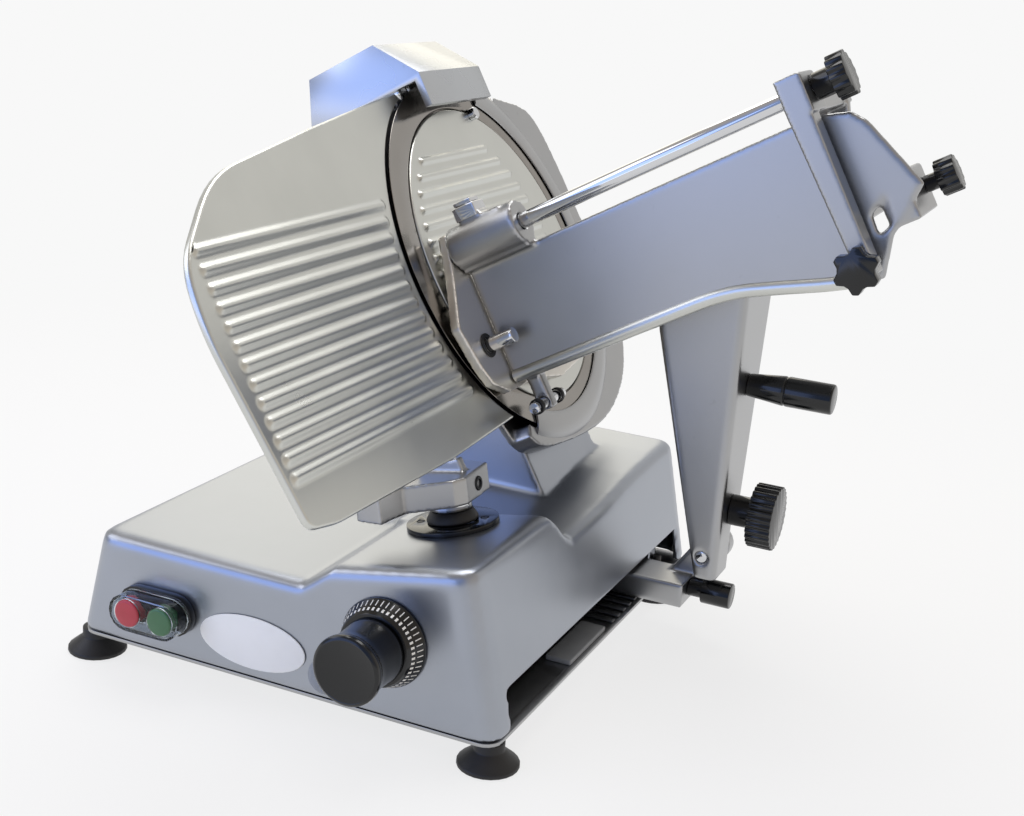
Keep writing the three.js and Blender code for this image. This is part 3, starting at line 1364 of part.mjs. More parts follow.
// Pusher on its rod: a tapered bar in front of the fence, a spiked plate behind it
const pusherBarFar = pusherBarNear + pusherBarThickness;
const rodTipLength = 10;
const rodEnd = pusherBarFar + rodTipLength;
piece('pusher_rod', alongAxis(rod(
  rodRadius, tableNear + cutOverrun + runningGap, rodEnd, 24), rightwards)
  .translate(0, rodHeight, rodOffset), chromedSteel(), tableFrame);
const pusherPlateSetback = 2;
const pusherPlateBack = pusherBarNear - pusherPlateSetback;
const pusherBarFront = fenceFace + pusherBarGap + pusherBarDepth;
const pusherBarBack = fenceFace + pusherBarGap;
const pusherTaperTop = 4;
const pusherTaperNear = 4;
const pusherHeadFoot = -3;
const pusherLinkTop = 10;
const pusherLinkBack = -20;
const pusherLinkSetback = 6;
const pusherFaceLeft = -66;
const pusherFaceTop = 8;
const pusherFaceCorner = 8;
const gussetReach = 60;
const gussetHalf = 4;
const spikeRowTop = -26;
const spikeRows = [0, 1, 2].map((row) => spikeRowTop - row * spikePitch);
const spikeFirst = -50;
const spikeLast = 70;
const spikeSides = 8;
function pusher() {
  const bar = plate([
    [pusherBarFar - pusherPlateSetback, -pusherFootDrop],
    [pusherBarFar - pusherPlateSetback, pusherTaperTop],
    [pusherBarNear, pusherTaperTop], [pusherBarNear + pusherTaperNear, -pusherFootDrop]],
  pusherBarBack, pusherBarFront);
  const head = block(
    pusherBarNear, pusherBarFar, pusherHeadFoot, pusherBlockTop,
    rodOffset - pusherBlockDepth / 2, pusherBarFront);
  const link = block(
    pusherBarNear - pusherLinkSetback, pusherBarFar - pusherLinkSetback, pusherHeadFoot,
    pusherLinkTop, pusherLinkBack, rodOffset);
  const facing = new THREE.Matrix4().makeBasis(
    new THREE.Vector3(0, 0, 1), new THREE.Vector3(0, 1, 0), new THREE.Vector3(-1, 0, 0));
  const face = plate(
    roundedRectangle(
      pusherFaceLeft, fenceFace - fenceThickness - cutOverrun, -pusherPlateBottom,
      pusherFaceTop, pusherFaceCorner),
    0, pusherPlateThickness).applyMatrix4(facing).translate(pusherPlateBack, 0, 0);
  const gusset = plate([
    [pusherBarNear + 2 * pusherFaceTop, 0], [pusherPlateBack - sinkIn, -gussetReach],
    [pusherPlateBack - sinkIn, 2 * sinkIn]], -gussetHalf, gussetHalf);
  const spikes = [];
  for (let z = spikeFirst; z <= spikeLast; z += spikePitch) {
    for (const height of spikeRows) {
      spikes.push(alongAxis(turned(
        [[0, 0], [spikeRadius, 0], [0, spikeLength]], spikeSides), leftwards)
        .translate(pusherPlateBack - pusherPlateThickness + sinkIn, height, z));
    }
  }
  const bore = alongAxis(rod(
    rodRadius + runningGap, pusherBarNear - 2 * pusherLinkSetback, pusherBarFar + sinkIn, 24),
  rightwards).translate(0, rodHeight, rodOffset);
  return cut(joined(bar, head, link, face, gusset, ...spikes), bore);
}
piece('pusher', pusher(), castAluminium(), tableFrame);
function stemmedKnob(foot, stemRadius, stemLength, capRadius, flute, flutes, capLength) {
  const neck = foot + stemLength;
  return joined(
    rod(stemRadius, foot, neck + sinkIn, 24),
    plate(fluted(capRadius, flute, flutes), neck, neck + capLength));
}
const rodKnobFoot = pusherBarFar + seatGap;
const rodKnobStem = 9.5;
const rodKnobNeck = 13.7;
const rodKnobRadius = 16;
const rodKnobLength = 12;
const smallFlute = 1.3;
piece('rod_knob', alongAxis(cut(
  stemmedKnob(
    rodKnobFoot, rodKnobStem, rodKnobNeck, rodKnobRadius, smallFlute, 14, rodKnobLength),
  rod(rodRadius + seatGap, rodKnobFoot - sinkIn, rodEnd + seatGap, 24)), rightwards)
  .translate(0, rodHeight, rodOffset), blackPlastic(), tableFrame);
const starStemRadius = 7;
const starStemLength = 4;
const starFlute = 3.4;
piece('star_knob', stemmedKnob(
  pusherBarFront + seatGap, starStemRadius, starStemLength, starKnobRadius, starFlute, 6,
  starKnobThickness).translate(pusherBarNear + starKnobInset, -starKnobDrop, 0),
blackPlastic(), tableFrame);
const cornerKnobStem = 6;
const cornerKnobNeck = 9.7;
const cornerKnobRadius = 13;
const cornerKnobLength = 14;
piece('corner_knob', alongAxis(stemmedKnob(
  cornerBossN + seatGap, cornerKnobStem, cornerKnobNeck, cornerKnobRadius, smallFlute, 12,
  cornerKnobLength), rightwards).translate(0, cornerBossU, cornerKnobZ),
blackPlastic(), tableFrame);

export default model;
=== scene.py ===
"""Looks for a gravity-feed meat slicer: its finishes, its detailed pieces and a plain studio."""

import json
import math

import bpy
from bpy.props import FloatProperty, FloatVectorProperty, IntProperty, PointerProperty
from bpy.types import Operator, Panel, PropertyGroup
from mathutils import Matrix, Vector


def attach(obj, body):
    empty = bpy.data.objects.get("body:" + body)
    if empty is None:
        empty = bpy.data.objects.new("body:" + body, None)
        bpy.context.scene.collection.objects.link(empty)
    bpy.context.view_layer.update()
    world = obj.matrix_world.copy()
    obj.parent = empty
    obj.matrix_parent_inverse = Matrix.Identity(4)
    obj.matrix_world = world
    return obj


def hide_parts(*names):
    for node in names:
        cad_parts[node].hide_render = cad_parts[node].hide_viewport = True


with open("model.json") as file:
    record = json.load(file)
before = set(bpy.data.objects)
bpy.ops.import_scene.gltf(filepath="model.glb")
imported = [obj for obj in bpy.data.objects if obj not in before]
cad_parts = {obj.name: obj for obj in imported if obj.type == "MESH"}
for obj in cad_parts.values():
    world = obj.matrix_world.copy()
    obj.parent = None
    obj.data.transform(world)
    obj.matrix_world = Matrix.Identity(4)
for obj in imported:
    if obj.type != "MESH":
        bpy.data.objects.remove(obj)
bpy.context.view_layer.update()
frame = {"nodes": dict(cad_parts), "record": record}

bl_info = {
    "name": "Meat slicer pieces",
    "version": (1, 0, 0),
    "blender": (4, 5, 0),
    "location": "View3D > Sidebar > Slicer",
    "description": "Models the visible pieces of a gravity-feed meat slicer over its packed solids",
    "category": "Object",
}

MM = 0.001

# Directions of the tilted knife and of the sloping deck, the same as in the solids
TILT = math.radians(30)
RISE = math.radians(11)
KNIFE_CENTRE = Vector((-136, 273, 295))
KNIFE_AXIS = Vector((math.cos(TILT), 0, math.sin(TILT)))
KNIFE_UP = Vector((-math.sin(TILT), 0, math.cos(TILT)))
AWAY = Vector((0, 1, 0))
RIGHT = Vector((1, 0, 0))
UP = Vector((0, 0, 1))
DECK_POST = Vector((-79, 88, 129.75))
DECK_ALONG = Vector((math.cos(RISE), 0, math.sin(RISE)))
DECK_UP = Vector((-math.sin(RISE), 0, math.cos(RISE)))

# Where the base's front face and the top of its bottom plate lie, in mm
FRONT_FACE = -16.3
BOTTOM_PLATE_TOP = 21.8

# Corners closer than this in mm are one corner: on a drawn piece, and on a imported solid
DRAWN_WELD = 0.002
SOLID_WELD = 0.01

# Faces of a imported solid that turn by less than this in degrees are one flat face
FLAT_TURN = 0.6


def knife_point(x, y, z):
    """A place in mm by the knife: x away, y up its face, z along its axis."""
    return (KNIFE_CENTRE + AWAY * x + KNIFE_UP * y + KNIFE_AXIS * z) * MM


def table_point(x, y, z):
    """A place in mm by the table: x along the knife's axis, y up its face, z to the operator."""
    return (KNIFE_CENTRE + KNIFE_AXIS * x + KNIFE_UP * y - AWAY * z) * MM


def deck_point(x, y, z):
    """A place in mm on the sloping deck: x up the slope, y away, z square to it."""
    return (DECK_POST + DECK_ALONG * x + AWAY * y + DECK_UP * z) * MM


def front_point(x, y, z):
    """A place in mm on the base's front: x right, y up, z out towards the operator."""
    return Vector((x, FRONT_FACE - z, y)) * MM


def world_point(x, y, z):
    """A place in mm in the shared frame."""
    return Vector((x, y, z)) * MM


# Modelling steps


def edit(obj):
    """Enters edit mode on one piece with nothing selected."""
    bpy.ops.object.select_all(action="DESELECT")
    bpy.context.view_layer.objects.active = obj
    obj.select_set(True)
    bpy.ops.object.mode_set(mode="EDIT")
    bpy.ops.mesh.select_all(action="DESELECT")


def leave_edit():
    """Goes back to object mode."""
    bpy.ops.object.mode_set(mode="OBJECT")


def alone(obj):
    """Selects one piece in object mode."""
    bpy.ops.object.select_all(action="DESELECT")
    bpy.context.view_layer.objects.active = obj
    obj.select_set(True)


def settle(obj):
    """Puts a piece's place into its mesh."""
    alone(obj)
    bpy.ops.object.transform_apply(location=True, rotation=True, scale=True)


def first_corner(name, place):
    """A piece of one corner: a small plane merged at its middle."""
    bpy.ops.object.select_all(action="DESELECT")
    bpy.ops.mesh.primitive_plane_add(size=MM, location=place)
    obj = bpy.context.object
    obj.name = name
    bpy.ops.object.mode_set(mode="EDIT")
    bpy.ops.mesh.select_all(action="SELECT")
    bpy.ops.mesh.merge(type="CENTER")
    return obj


def draw_line(points):
    """Extrudes the selected corner through the points after the first."""
    for start, end in zip(points, points[1:]):
        bpy.ops.mesh.extrude_region_move(TRANSFORM_OT_translate={"value": end - start})


def outward_faces():
    """Merges doubled corners in edit mode and turns every face outwards."""
    bpy.ops.mesh.select_all(action="SELECT")
    bpy.ops.mesh.remove_doubles(threshold=DRAWN_WELD * MM)
    bpy.ops.mesh.normals_make_consistent(inside=False)


def plate_piece(name, points, push):
    """A flat plate: an outline drawn point by point, filled and extruded."""
    obj = first_corner(name, points[0])
    draw_line(points)
    bpy.ops.mesh.select_all(action="SELECT")
    bpy.ops.mesh.edge_face_add()
    bpy.ops.mesh.extrude_region_move(TRANSFORM_OT_translate={"value": push})
    outward_faces()
    leave_edit()
    settle(obj)
    return obj


def rectangle(across, along):
    """The four corners of a rectangle, from its two spans."""
    return [
        (across[0], along[0]), (across[1], along[0]), (across[1], along[1]), (across[0], along[1])]


def turned_piece(name, place, centre, axis, profile, steps):
    """A turned piece: its half profile spun round its axis. place maps radius and height."""
    points = [place(radius, height) for radius, height in profile]
    obj = first_corner(name, points[0])
    draw_line(points)
    bpy.ops.mesh.select_all(action="SELECT")
    bpy.ops.mesh.spin(steps=steps, angle=2 * math.pi, center=centre, axis=axis)
    outward_faces()
    leave_edit()
    settle(obj)
    return obj


def knife_turned(name, profile, steps, x=0, y=0):
    """A turned piece whose axis lies along the knife's, x away from it and y up its face."""
    return turned_piece(
        name, lambda radius, height: knife_point(x + radius, y, height), knife_point(x, y, 0),
        KNIFE_AXIS, profile, steps)


def select_faces(obj, wanted):
    """Selects the faces that the test accepts, in edit mode."""
    leave_edit()
    for face in obj.data.polygons:
        face.select = bool(wanted(face))
    bpy.ops.object.mode_set(mode="EDIT")
    bpy.ops.mesh.select_mode(type="FACE")


def add_modifier(obj, kind, **settings):
    """Adds and applies one modifier."""
    alone(obj)
    modifier = obj.modifiers.new(kind.lower(), kind)
    for name, value in settings.items():
        setattr(modifier, name, value)
    bpy.ops.object.modifier_apply(modifier=modifier.name)


def shade(obj, angle):
    """Shades a piece smooth, apart from the edges that turn by more than an angle in degrees."""
    alone(obj)
    bpy.ops.object.shade_smooth_by_angle(angle=math.radians(angle))


def round_edges(obj, width, segments=3, angle=30, shading=40):
    """Rounds the edges that turn by more than an angle, by a width in metres, and shades."""
    add_modifier(
        obj, "BEVEL", width=width, segments=segments, limit_method="ANGLE",
        angle_limit=math.radians(angle), use_clamp_overlap=True)
    shade(obj, shading)


def carve(obj, *tools):
    """Cuts the tools out of a piece and deletes them."""
    for tool in tools:
        add_modifier(obj, "BOOLEAN", operation="DIFFERENCE", object=tool, solver="EXACT")
        bpy.data.objects.remove(tool)


def repeat_piece(obj, moves):
    """Copies one piece by each move, each copy with its own mesh, and joins them."""
    pieces = [obj]
    for move in moves:
        copy = obj.copy()
        copy.data = obj.data.copy()
        bpy.context.scene.collection.objects.link(copy)
        copy.data.transform(move)
        pieces.append(copy)
    return merge_pieces(obj.name, *pieces)


def merge_pieces(name, *pieces):
    """Joins separate shells into one object."""
    bpy.ops.object.select_all(action="DESELECT")
    for obj in pieces:
        obj.select_set(True)
    bpy.context.view_layer.objects.active = pieces[0]
    if len(pieces) > 1:
        bpy.ops.object.join()
    pieces[0].name = name
    return pieces[0]


def node_copy(name, node):
    """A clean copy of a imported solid: corners merged and flat faces joined."""
    source = frame["nodes"][node]
    obj = bpy.data.objects.new(name, source.data.copy())
    bpy.context.scene.collection.objects.link(obj)
    obj.matrix_world = source.matrix_world.copy()
    edit(obj)
    bpy.ops.mesh.select_all(action="SELECT")
    bpy.ops.mesh.remove_doubles(threshold=SOLID_WELD * MM)
    bpy.ops.mesh.dissolve_limited(angle_limit=math.radians(FLAT_TURN))
    leave_edit()
    return obj


def install(obj, body, slot, *nodes, finish=None):
    """Dresses a finished piece, rides it on its body and lets it stand for its solids."""
    obj.data.materials.clear()
    obj.data.materials.append(FINISHES[finish or slot])
    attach(obj, body)
    if nodes:
        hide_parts(*nodes)
    return obj


# Materials

# Sizes in mm of what the finishes show: broad wandering of the tone, dull spots, faint haze
METAL_TONE = 55
PLASTIC_TONE = 12
SPOT_SIZE = 7
HAZE_SIZE = 4

# Noise levels between which a dull spot fades in, and its colour
SPOT_FADE = (0.77, 0.83)
SPOT_COLOUR = "#77746F"

# How far the roughness wanders, as shares of its value, and how strong the grain's bump is
METAL_SHEEN = (0.85, 1.2)
PLASTIC_SHEEN = (0.8, 1.25)
METAL_BUMP = 0.35
PLASTIC_BUMP = 0.3
COAT_ROUGHNESS = 0.12

# The clear cover: its tint, how it bends light seen through so thin a wall, and its roughness
COVER_TINT = "#DDE3E8"
COVER_IOR = 1.25
COVER_SHEEN = (0.05, 0.16)


def linear(hex_colour):
    """An sRGB hex value as linear RGBA."""
    values = [int(hex_colour[i : i + 2], 16) / 255 for i in (1, 3, 5)]
    return [v / 12.92 if v <= 0.04045 else ((v + 0.055) / 1.055) ** 2.4 for v in values] + [1.0]


def add_node(tree, kind, settings=None, links=None):
    """Adds one node, sets its properties and inputs, and links its inputs from outputs."""
    node = tree.nodes.new(kind)
    for name, value in (settings or {}).items():
        if isinstance(name, str) and hasattr(node, name):
            setattr(node, name, value)
        else:
            node.inputs[name].default_value = value
    for name, source in (links or {}).items():
        tree.links.new(source, node.inputs[name])
    return node


def new_material(name):
    """An empty node material and its tree."""
    material = bpy.data.materials.new(name)
    material.use_nodes = True
    material.node_tree.nodes.clear()
    return material, material.node_tree


def finish_material(tree, shader):
    """Sends a shader to the material's output."""
    output = add_node(tree, "ShaderNodeOutputMaterial")
    tree.links.new(shader, output.inputs["Surface"])


def grain(tree, size_mm, detail=3):
    """Noise whose lumps are size_mm across, on Object coordinates."""
    place = add_node(tree, "ShaderNodeTexCoord")
    return add_node(
        tree, "ShaderNodeTexNoise", {"Scale": 1 / (size_mm * MM), "Detail": detail},
        {"Vector": place.outputs["Object"]})


def satin_metal(name, dark, light, roughness, grain_mm, bump_mm, spots):
    """A metal whose tone and sheen wander a little, with a fine grain and a share of dull spots."""
    material, tree = new_material(name)
    broad = grain(tree, METAL_TONE)
    tone = add_node(
        tree, "ShaderNodeMix", {"data_type": "RGBA", 6: linear(dark), 7: linear(light)},
        {0: broad.outputs["Fac"]})
    colour = tone.outputs[2]
    if spots:
        speck = grain(tree, SPOT_SIZE, detail=1)
        dulled = add_node(
            tree, "ShaderNodeMapRange",
            {"From Min": SPOT_FADE[0], "From Max": SPOT_FADE[1], "To Max": spots},
            {"Value": speck.outputs["Fac"]})
        worn = add_node(
            tree, "ShaderNodeMix", {"data_type": "RGBA", 7: linear(SPOT_COLOUR)},
            {0: dulled.outputs["Result"], 6: colour})
        colour = worn.outputs[2]
    sheen = add_node(
        tree, "ShaderNodeMapRange",
        {"To Min": roughness * METAL_SHEEN[0], "To Max": roughness * METAL_SHEEN[1]},
        {"Value": broad.outputs["Fac"]})
    links = {"Base Color": colour, "Roughness": sheen.outputs["Result"]}
    if bump_mm:
        fine = grain(tree, grain_mm, detail=4)
        bump = add_node(
            tree, "ShaderNodeBump", {"Strength": METAL_BUMP, "Distance": bump_mm * MM},
            {"Height": fine.outputs["Fac"]})
        links["Normal"] = bump.outputs["Normal"]
    shader = add_node(tree, "ShaderNodeBsdfPrincipled", {"Metallic": 1.0}, links)
    finish_material(tree, shader.outputs["BSDF"])
    return material


def plastic(name, dark, light, roughness, coat, grain_mm, bump_mm):
    """A moulded plastic or rubber with a fine moulded grain and slight fading."""
    material, tree = new_material(name)
    fine = grain(tree, grain_mm)
    broad = grain(tree, PLASTIC_TONE)
    tone = add_node(
        tree, "ShaderNodeMix", {"data_type": "RGBA", 6: linear(dark), 7: linear(light)},
        {0: broad.outputs["Fac"]})
    sheen = add_node(
        tree, "ShaderNodeMapRange",
        {"To Min": roughness * PLASTIC_SHEEN[0], "To Max": roughness * PLASTIC_SHEEN[1]},
        {"Value": broad.outputs["Fac"]})
    bump = add_node(
        tree, "ShaderNodeBump", {"Strength": PLASTIC_BUMP, "Distance": bump_mm * MM},
        {"Height": fine.outputs["Fac"]})
    shader = add_node(
        tree, "ShaderNodeBsdfPrincipled", {"Coat Weight": coat, "Coat Roughness": COAT_ROUGHNESS},
        {"Base Color": tone.outputs[2], "Roughness": sheen.outputs["Result"],
         "Normal": bump.outputs["Normal"]})
    finish_material(tree, shader.outputs["BSDF"])
    return material


def clear_cover_material():
    """Clear polycarbonate: almost colourless, with a moulded gloss and faint cloudiness."""
    material, tree = new_material("clear_polycarbonate")
    haze = grain(tree, HAZE_SIZE, detail=2)
    sheen = add_node(
        tree, "ShaderNodeMapRange", {"To Min": COVER_SHEEN[0], "To Max": COVER_SHEEN[1]},
        {"Value": haze.outputs["Fac"]})
    shader = add_node(
        tree, "ShaderNodeBsdfPrincipled",
        {"Base Color": linear(COVER_TINT), "Transmission Weight": 1.0, "IOR": COVER_IOR},
        {"Roughness": sheen.outputs["Result"]})
    finish_material(tree, shader.outputs["BSDF"])
    return material


# Metals by material slot: name, darkest and lightest tone, roughness, grain in mm, bump in mm, and
# how far its dull spots fade in. The real grain of these surfaces, a few tenths of a mm, is too fine
# to show, so it is drawn as coarse as it needs to show
METALS = {
    # Satin cast aluminium: tumbled to an even grey sheen, with a fine grain and a few dull spots
    "cast_aluminium": ("satin_cast_aluminium", "#A3A4A6", "#B2B2B2", 0.32, 2.4, 0.01, 0.1),
    # The same casting alloy on the base, in a darker, bluer copy of the plain casting's grey: painted
    # shade and a painted blue reflection of the daylight in front
    "base_casting": ("cast_aluminium_painted_blue_shade", "#9A9FA8", "#A9ADB5", 0.31, 2.4, 0.01, 0.1),
    # Anodised aluminium sheet and plate: smoother than the casting, with no grain to see
    "machined_aluminium": ("anodised_aluminium", "#C6C7C2", "#D4D5D0", 0.29, 0, 0, 0),
    # A lighter, warmer copy of the casting for the end plate: painted warm light on its face
    "end_plate_painted_light": ("cast_aluminium_painted_warm_light", "#D5D0C8", "#E4E0D9", 0.36, 2.2, 0.008, 0),
    # Chrome plate: polished, mirror bright and slightly cool
    "chromed_steel": ("chrome_plate", "#C9CACC", "#D8D9DB", 0.07, 2, 0.002, 0),
    # Ground and polished knife steel: darker than the aluminium, and almost a mirror
    "polished_steel": ("ground_knife_steel", "#8B8783", "#A09C97", 0.15, 0.8, 0.003, 0),
    # Rubbed bright casting: the hood, worn smooth by wiping
    "bright_casting": ("rubbed_cast_aluminium", "#B2B5B9", "#BFC2C6", 0.27, 2.4, 0.004, 0.15),
    # Bare steel sheet: dulled by handling to a middle grey
    "grey_steel": ("dull_steel_sheet", "#5A5B5C", "#6C6D6E", 0.4, 1.5, 0.01, 0),
    # Blackened steel: near black, with a dull satin sheen
    "dark_steel": ("blackened_steel", "#2C2D2F", "#3A3B3D", 0.45, 1.5, 0.02, 0),
}

# Plastics and the like by material slot: name, darkest and lightest tone, roughness, coat, grain
# in mm and bump in mm. Their moulded texture is drawn coarser than it is, for the same reason
PLASTICS = {
    # Bakelite knobs: deep black, polished by hands
    "black_plastic": ("black_bakelite", "#040506", "#08090B", 0.16, 0, 1.5, 0.006),
    # Moulded rubber: soft black, hardly any gloss
    "black_rubber": ("moulded_rubber", "#131211", "#1D1B1A", 0.5, 0, 0.9, 0.03),
    # Glass-filled polyamide: matt grey
    "grey_plastic": ("grey_polyamide", "#85888B", "#989B9D", 0.45, 0, 1, 0.02),
    # Acrylic push buttons: glossy signal red and signal green
    "red_plastic": ("red_acrylic", "#A8202F", "#BC3442", 0.3, 0.3, 1.5, 0.005),
    "green_plastic": ("green_acrylic", "#2C5F37", "#3E7048", 0.3, 0.3, 1.5, 0.005),
    # Vitrified grinding grit: coarse and quite matt
    "abrasive": ("grinding_grit", "#7B766D", "#9B958A", 0.9, 0, 0.5, 0.15),
    # Enamel on the blank plate and in the dial's engraved marks: smooth white with a soft gloss
    "white_enamel": ("white_enamel", "#F6F3E9", "#FCF9F0", 0.35, 0.2, 2, 0.004),
}

FINISHES = {}


def make_finishes():
    """Every finish of the slicer, by its material slot."""
    for slot, values in METALS.items():
        FINISHES[slot] = satin_metal(*values)
    for slot, values in PLASTICS.items():
        FINISHES[slot] = plastic(*values)
    FINISHES["clear_cover"] = clear_cover_material()


# Solids carried over: which body and finish each has, and how its edges are rounded

BODY_OF = {
    node: body for body, nodes in frame["record"]["behaviour"]["bodies"].items() for node in nodes}
SLOT_OF = {part["node"]: part["material_slot"] for part in frame["record"]["subparts"]}

# Cast pieces, each with the grain in mm of its remeshed skin and the passes that soften it
CASTINGS = {
    "base_casting": (2.4, 5),
    "product_table": (1.7, 5),
    "pusher": (1.4, 5),
    "arm": (1.6, 5),
    "gauge_support": (1.1, 3),
    "carriage_foot": (1.4, 4),
    "ring_guard": (1.1, 9),
    "end_plate": (1.2, 3),
}
SOFTENING = 0.5

# Castings whose finish differs from the plain one: the base's darker, bluer copy, which is painted
# shade and painted blue reflection, and the end plate's lighter, warmer copy, which is painted light
CAST_FINISHES = {"base_casting": "base_casting", "end_plate": "end_plate_painted_light"}

# Machined and moulded pieces: segments of their rounding and the sharpest turn left as it is, then
# those with a wider rounding in mm, and those with another finish than their slot's
EDGE_SEGMENTS = 2
EDGE_TURN = 38
WIDER_EDGES = {"sharpener_hood": 1.5}
CARRIED_FINISHES = {
    "switch_cover": "clear_cover", "badge_plate": "white_enamel", "sharpener_hood": "bright_casting"}


class SlicerSizes(PropertyGroup):
    """Sizes and colours that a user would change."""

    edge_round: FloatProperty(
        name="Edge rounding", description="Radius on the edges of the machined and moulded pieces",
        default=0.7 * MM, subtype="DISTANCE", unit="LENGTH")
    rib_height: FloatProperty(
        name="Rib height", description="How far the rolled ribs stand proud of their plate",
        default=2.3 * MM, subtype="DISTANCE", unit="LENGTH")
    rib_half_width: FloatProperty(
        name="Rib half width", description="Half the width of a rolled rib at its foot",
        default=5.6 * MM, subtype="DISTANCE", unit="LENGTH")
    rib_pitch: FloatProperty(
        name="Rib pitch", description="Distance from one rib to the next",
        default=12.4 * MM, subtype="DISTANCE", unit="LENGTH")
    skin_step: FloatProperty(
        name="Skin step", description="Distance between the points of a ribbed plate's skin",
        default=1.5 * MM, subtype="DISTANCE", unit="LENGTH")
    dial_marks: IntProperty(
        name="Dial marks", description="Number of marks round the index dial", default=48, min=12)
    studio_floor: FloatProperty(
        name="Floor size", description="Side length of the studio floor",
        default=14.0, subtype="DISTANCE", unit="LENGTH")
    floor_colour: FloatVectorProperty(
        name="Floor colour", description="Colour of the pale studio floor",
        subtype="COLOR", size=3, default=(0.94, 0.94, 0.94), min=0, max=1)


def sizes():
    """The sizes and colours that the panel's user may change."""
    return bpy.context.scene.slicer_sizes


def cast_piece(node, *tools):
    """A casting: the solid remeshed to one skin, whose edges are softened as tumbling does."""
    grain_mm, passes = CASTINGS[node]
    obj = node_copy(node + "_cast", node)
    carve(obj, *tools)
    add_modifier(obj, "REMESH", mode="VOXEL", voxel_size=grain_mm * MM, use_smooth_shade=True)
    add_modifier(obj, "SMOOTH", factor=SOFTENING, iterations=passes)
    return install(obj, BODY_OF[node], SLOT_OF[node], node, finish=CAST_FINISHES.get(node))


def edged_piece(node):
    """A machined or moulded piece: the solid with its corners merged and its edges rounded."""
    obj = node_copy(node + "_edged", node)
    width = WIDER_EDGES[node] * MM if node in WIDER_EDGES else sizes().edge_round
    round_edges(obj, width, EDGE_SEGMENTS, EDGE_TURN, EDGE_TURN)
    return install(obj, BODY_OF[node], SLOT_OF[node], node, finish=CARRIED_FINISHES.get(node))


# Ribbed plates: a rounded rim, and a thin face set a little in and carrying the ribs, in mm
FACE_LIFT = 0.05
FACE_INSET = 0.2
FACE_THICKNESS = 0.4
FACE_SHADING = 50
RIM_SEGMENTS = 4
RIM_TURN = 60


def nearest_on_outline(outline, x, y):
    """The place on a closed outline that is nearest to a point."""
    best = None
    for (ax, ay), (bx, by) in zip(outline, outline[1:] + outline[:1]):
        length = (bx - ax) ** 2 + (by - ay) ** 2
        share = ((x - ax) * (bx - ax) + (y - ay) * (by - ay)) / length if length else 0
        share = min(1, max(0, share))
        px, py = ax + share * (bx - ax), ay + share * (by - ay)
        away = (x - px) ** 2 + (y - py) ** 2
        if best is None or away < best[0]:
            best = (away, px, py)
    return best[1], best[2]


def inside_outline(outline, x, y):
    """Whether a place lies within a closed outline."""
    inside = False
    for (ax, ay), (bx, by) in zip(outline, outline[1:] + outline[:1]):
        if (ay > y) != (by > y) and x < ax + (y - ay) * (bx - ax) / (by - ay):
            inside = not inside
    return inside


def set_in(outline, inset):
    """An outline moved inwards by a distance, with its points kept."""
    area = sum(
        ax * by - bx * ay for (ax, ay), (bx, by) in zip(outline, outline[1:] + outline[:1]))
    side = 1 if area > 0 else -1
    moved = []
    for i, (x, y) in enumerate(outline):
        (bx, by), (ax, ay) = outline[i - 1], outline[(i + 1) % len(outline)]
        length = math.hypot(ax - bx, ay - by)
        moved.append((x - side * (ay - by) / length * inset, y + side * (ax - bx) / length * inset))
    return moved


def rimmed_plate(name, outline, height, face, depth, rim_radius):
    """A plate with a rounded rim, and a face that carries a relief."""
    rim = plate_piece(
        name, [knife_point(x, y, face - depth) for x, y in outline],
        KNIFE_AXIS * (depth - FACE_LIFT) * MM)
    round_edges(rim, rim_radius * MM, RIM_SEGMENTS, RIM_TURN)
    skin = relief_skin(name + "_face", set_in(outline, rim_radius + FACE_INSET), height)
    return merge_pieces(name, rim, skin)


def relief_skin(name, outline, height):
    """A thin skin that carries a relief: a grid trimmed to the outline and thickened."""
    step = sizes().skin_step / MM
    low = [min(point[i] for point in outline) - step for i in (0, 1)]
    high = [max(point[i] for point in outline) + step for i in (0, 1)]
    bpy.ops.object.select_all(action="DESELECT")
    bpy.ops.mesh.primitive_grid_add(
        x_subdivisions=round((high[0] - low[0]) / step),
        y_subdivisions=round((high[1] - low[1]) / step), size=2)
    obj = bpy.context.object
    obj.name = name
    for corner in obj.data.vertices:
        corner.co.x = low[0] + (corner.co.x + 1) / 2 * (high[0] - low[0])
        corner.co.y = low[1] + (corner.co.y + 1) / 2 * (high[1] - low[1])
    edit(obj)
    select_faces(obj, lambda face: not inside_outline(outline, face.center.x, face.center.y))
    bpy.ops.mesh.delete(type="FACE")
    bpy.ops.mesh.select_mode(type="VERT")
    bpy.ops.mesh.select_non_manifold()
    leave_edit()
    for corner in obj.data.vertices:
        if corner.select:
            corner.co.x, corner.co.y = nearest_on_outline(outline, corner.co.x, corner.co.y)
        corner.co = knife_point(corner.co.x, corner.co.y, height(corner.co.x, corner.co.y))
    obj.data.update()
    if sum(face.normal.dot(KNIFE_AXIS) for face in obj.data.polygons) < 0:
        edit(obj)
        bpy.ops.mesh.select_all(action="SELECT")
        bpy.ops.mesh.flip_normals()
        leave_edit()
    add_modifier(obj, "SOLIDIFY", thickness=FACE_THICKNESS * MM, offset=-1)
    shade(obj, FACE_SHADING)
    return obj


def rib_relief(x, y, left, right, level, half):
    """Height of one rolled rib of some half width between two places along a level."""
    along = max(left - x, 0, x - right)
    reach = math.hypot(along, y - level)
    if reach >= half:
        return 0
    return sizes().rib_height / MM * math.cos(math.pi / 2 * reach / half) ** 2


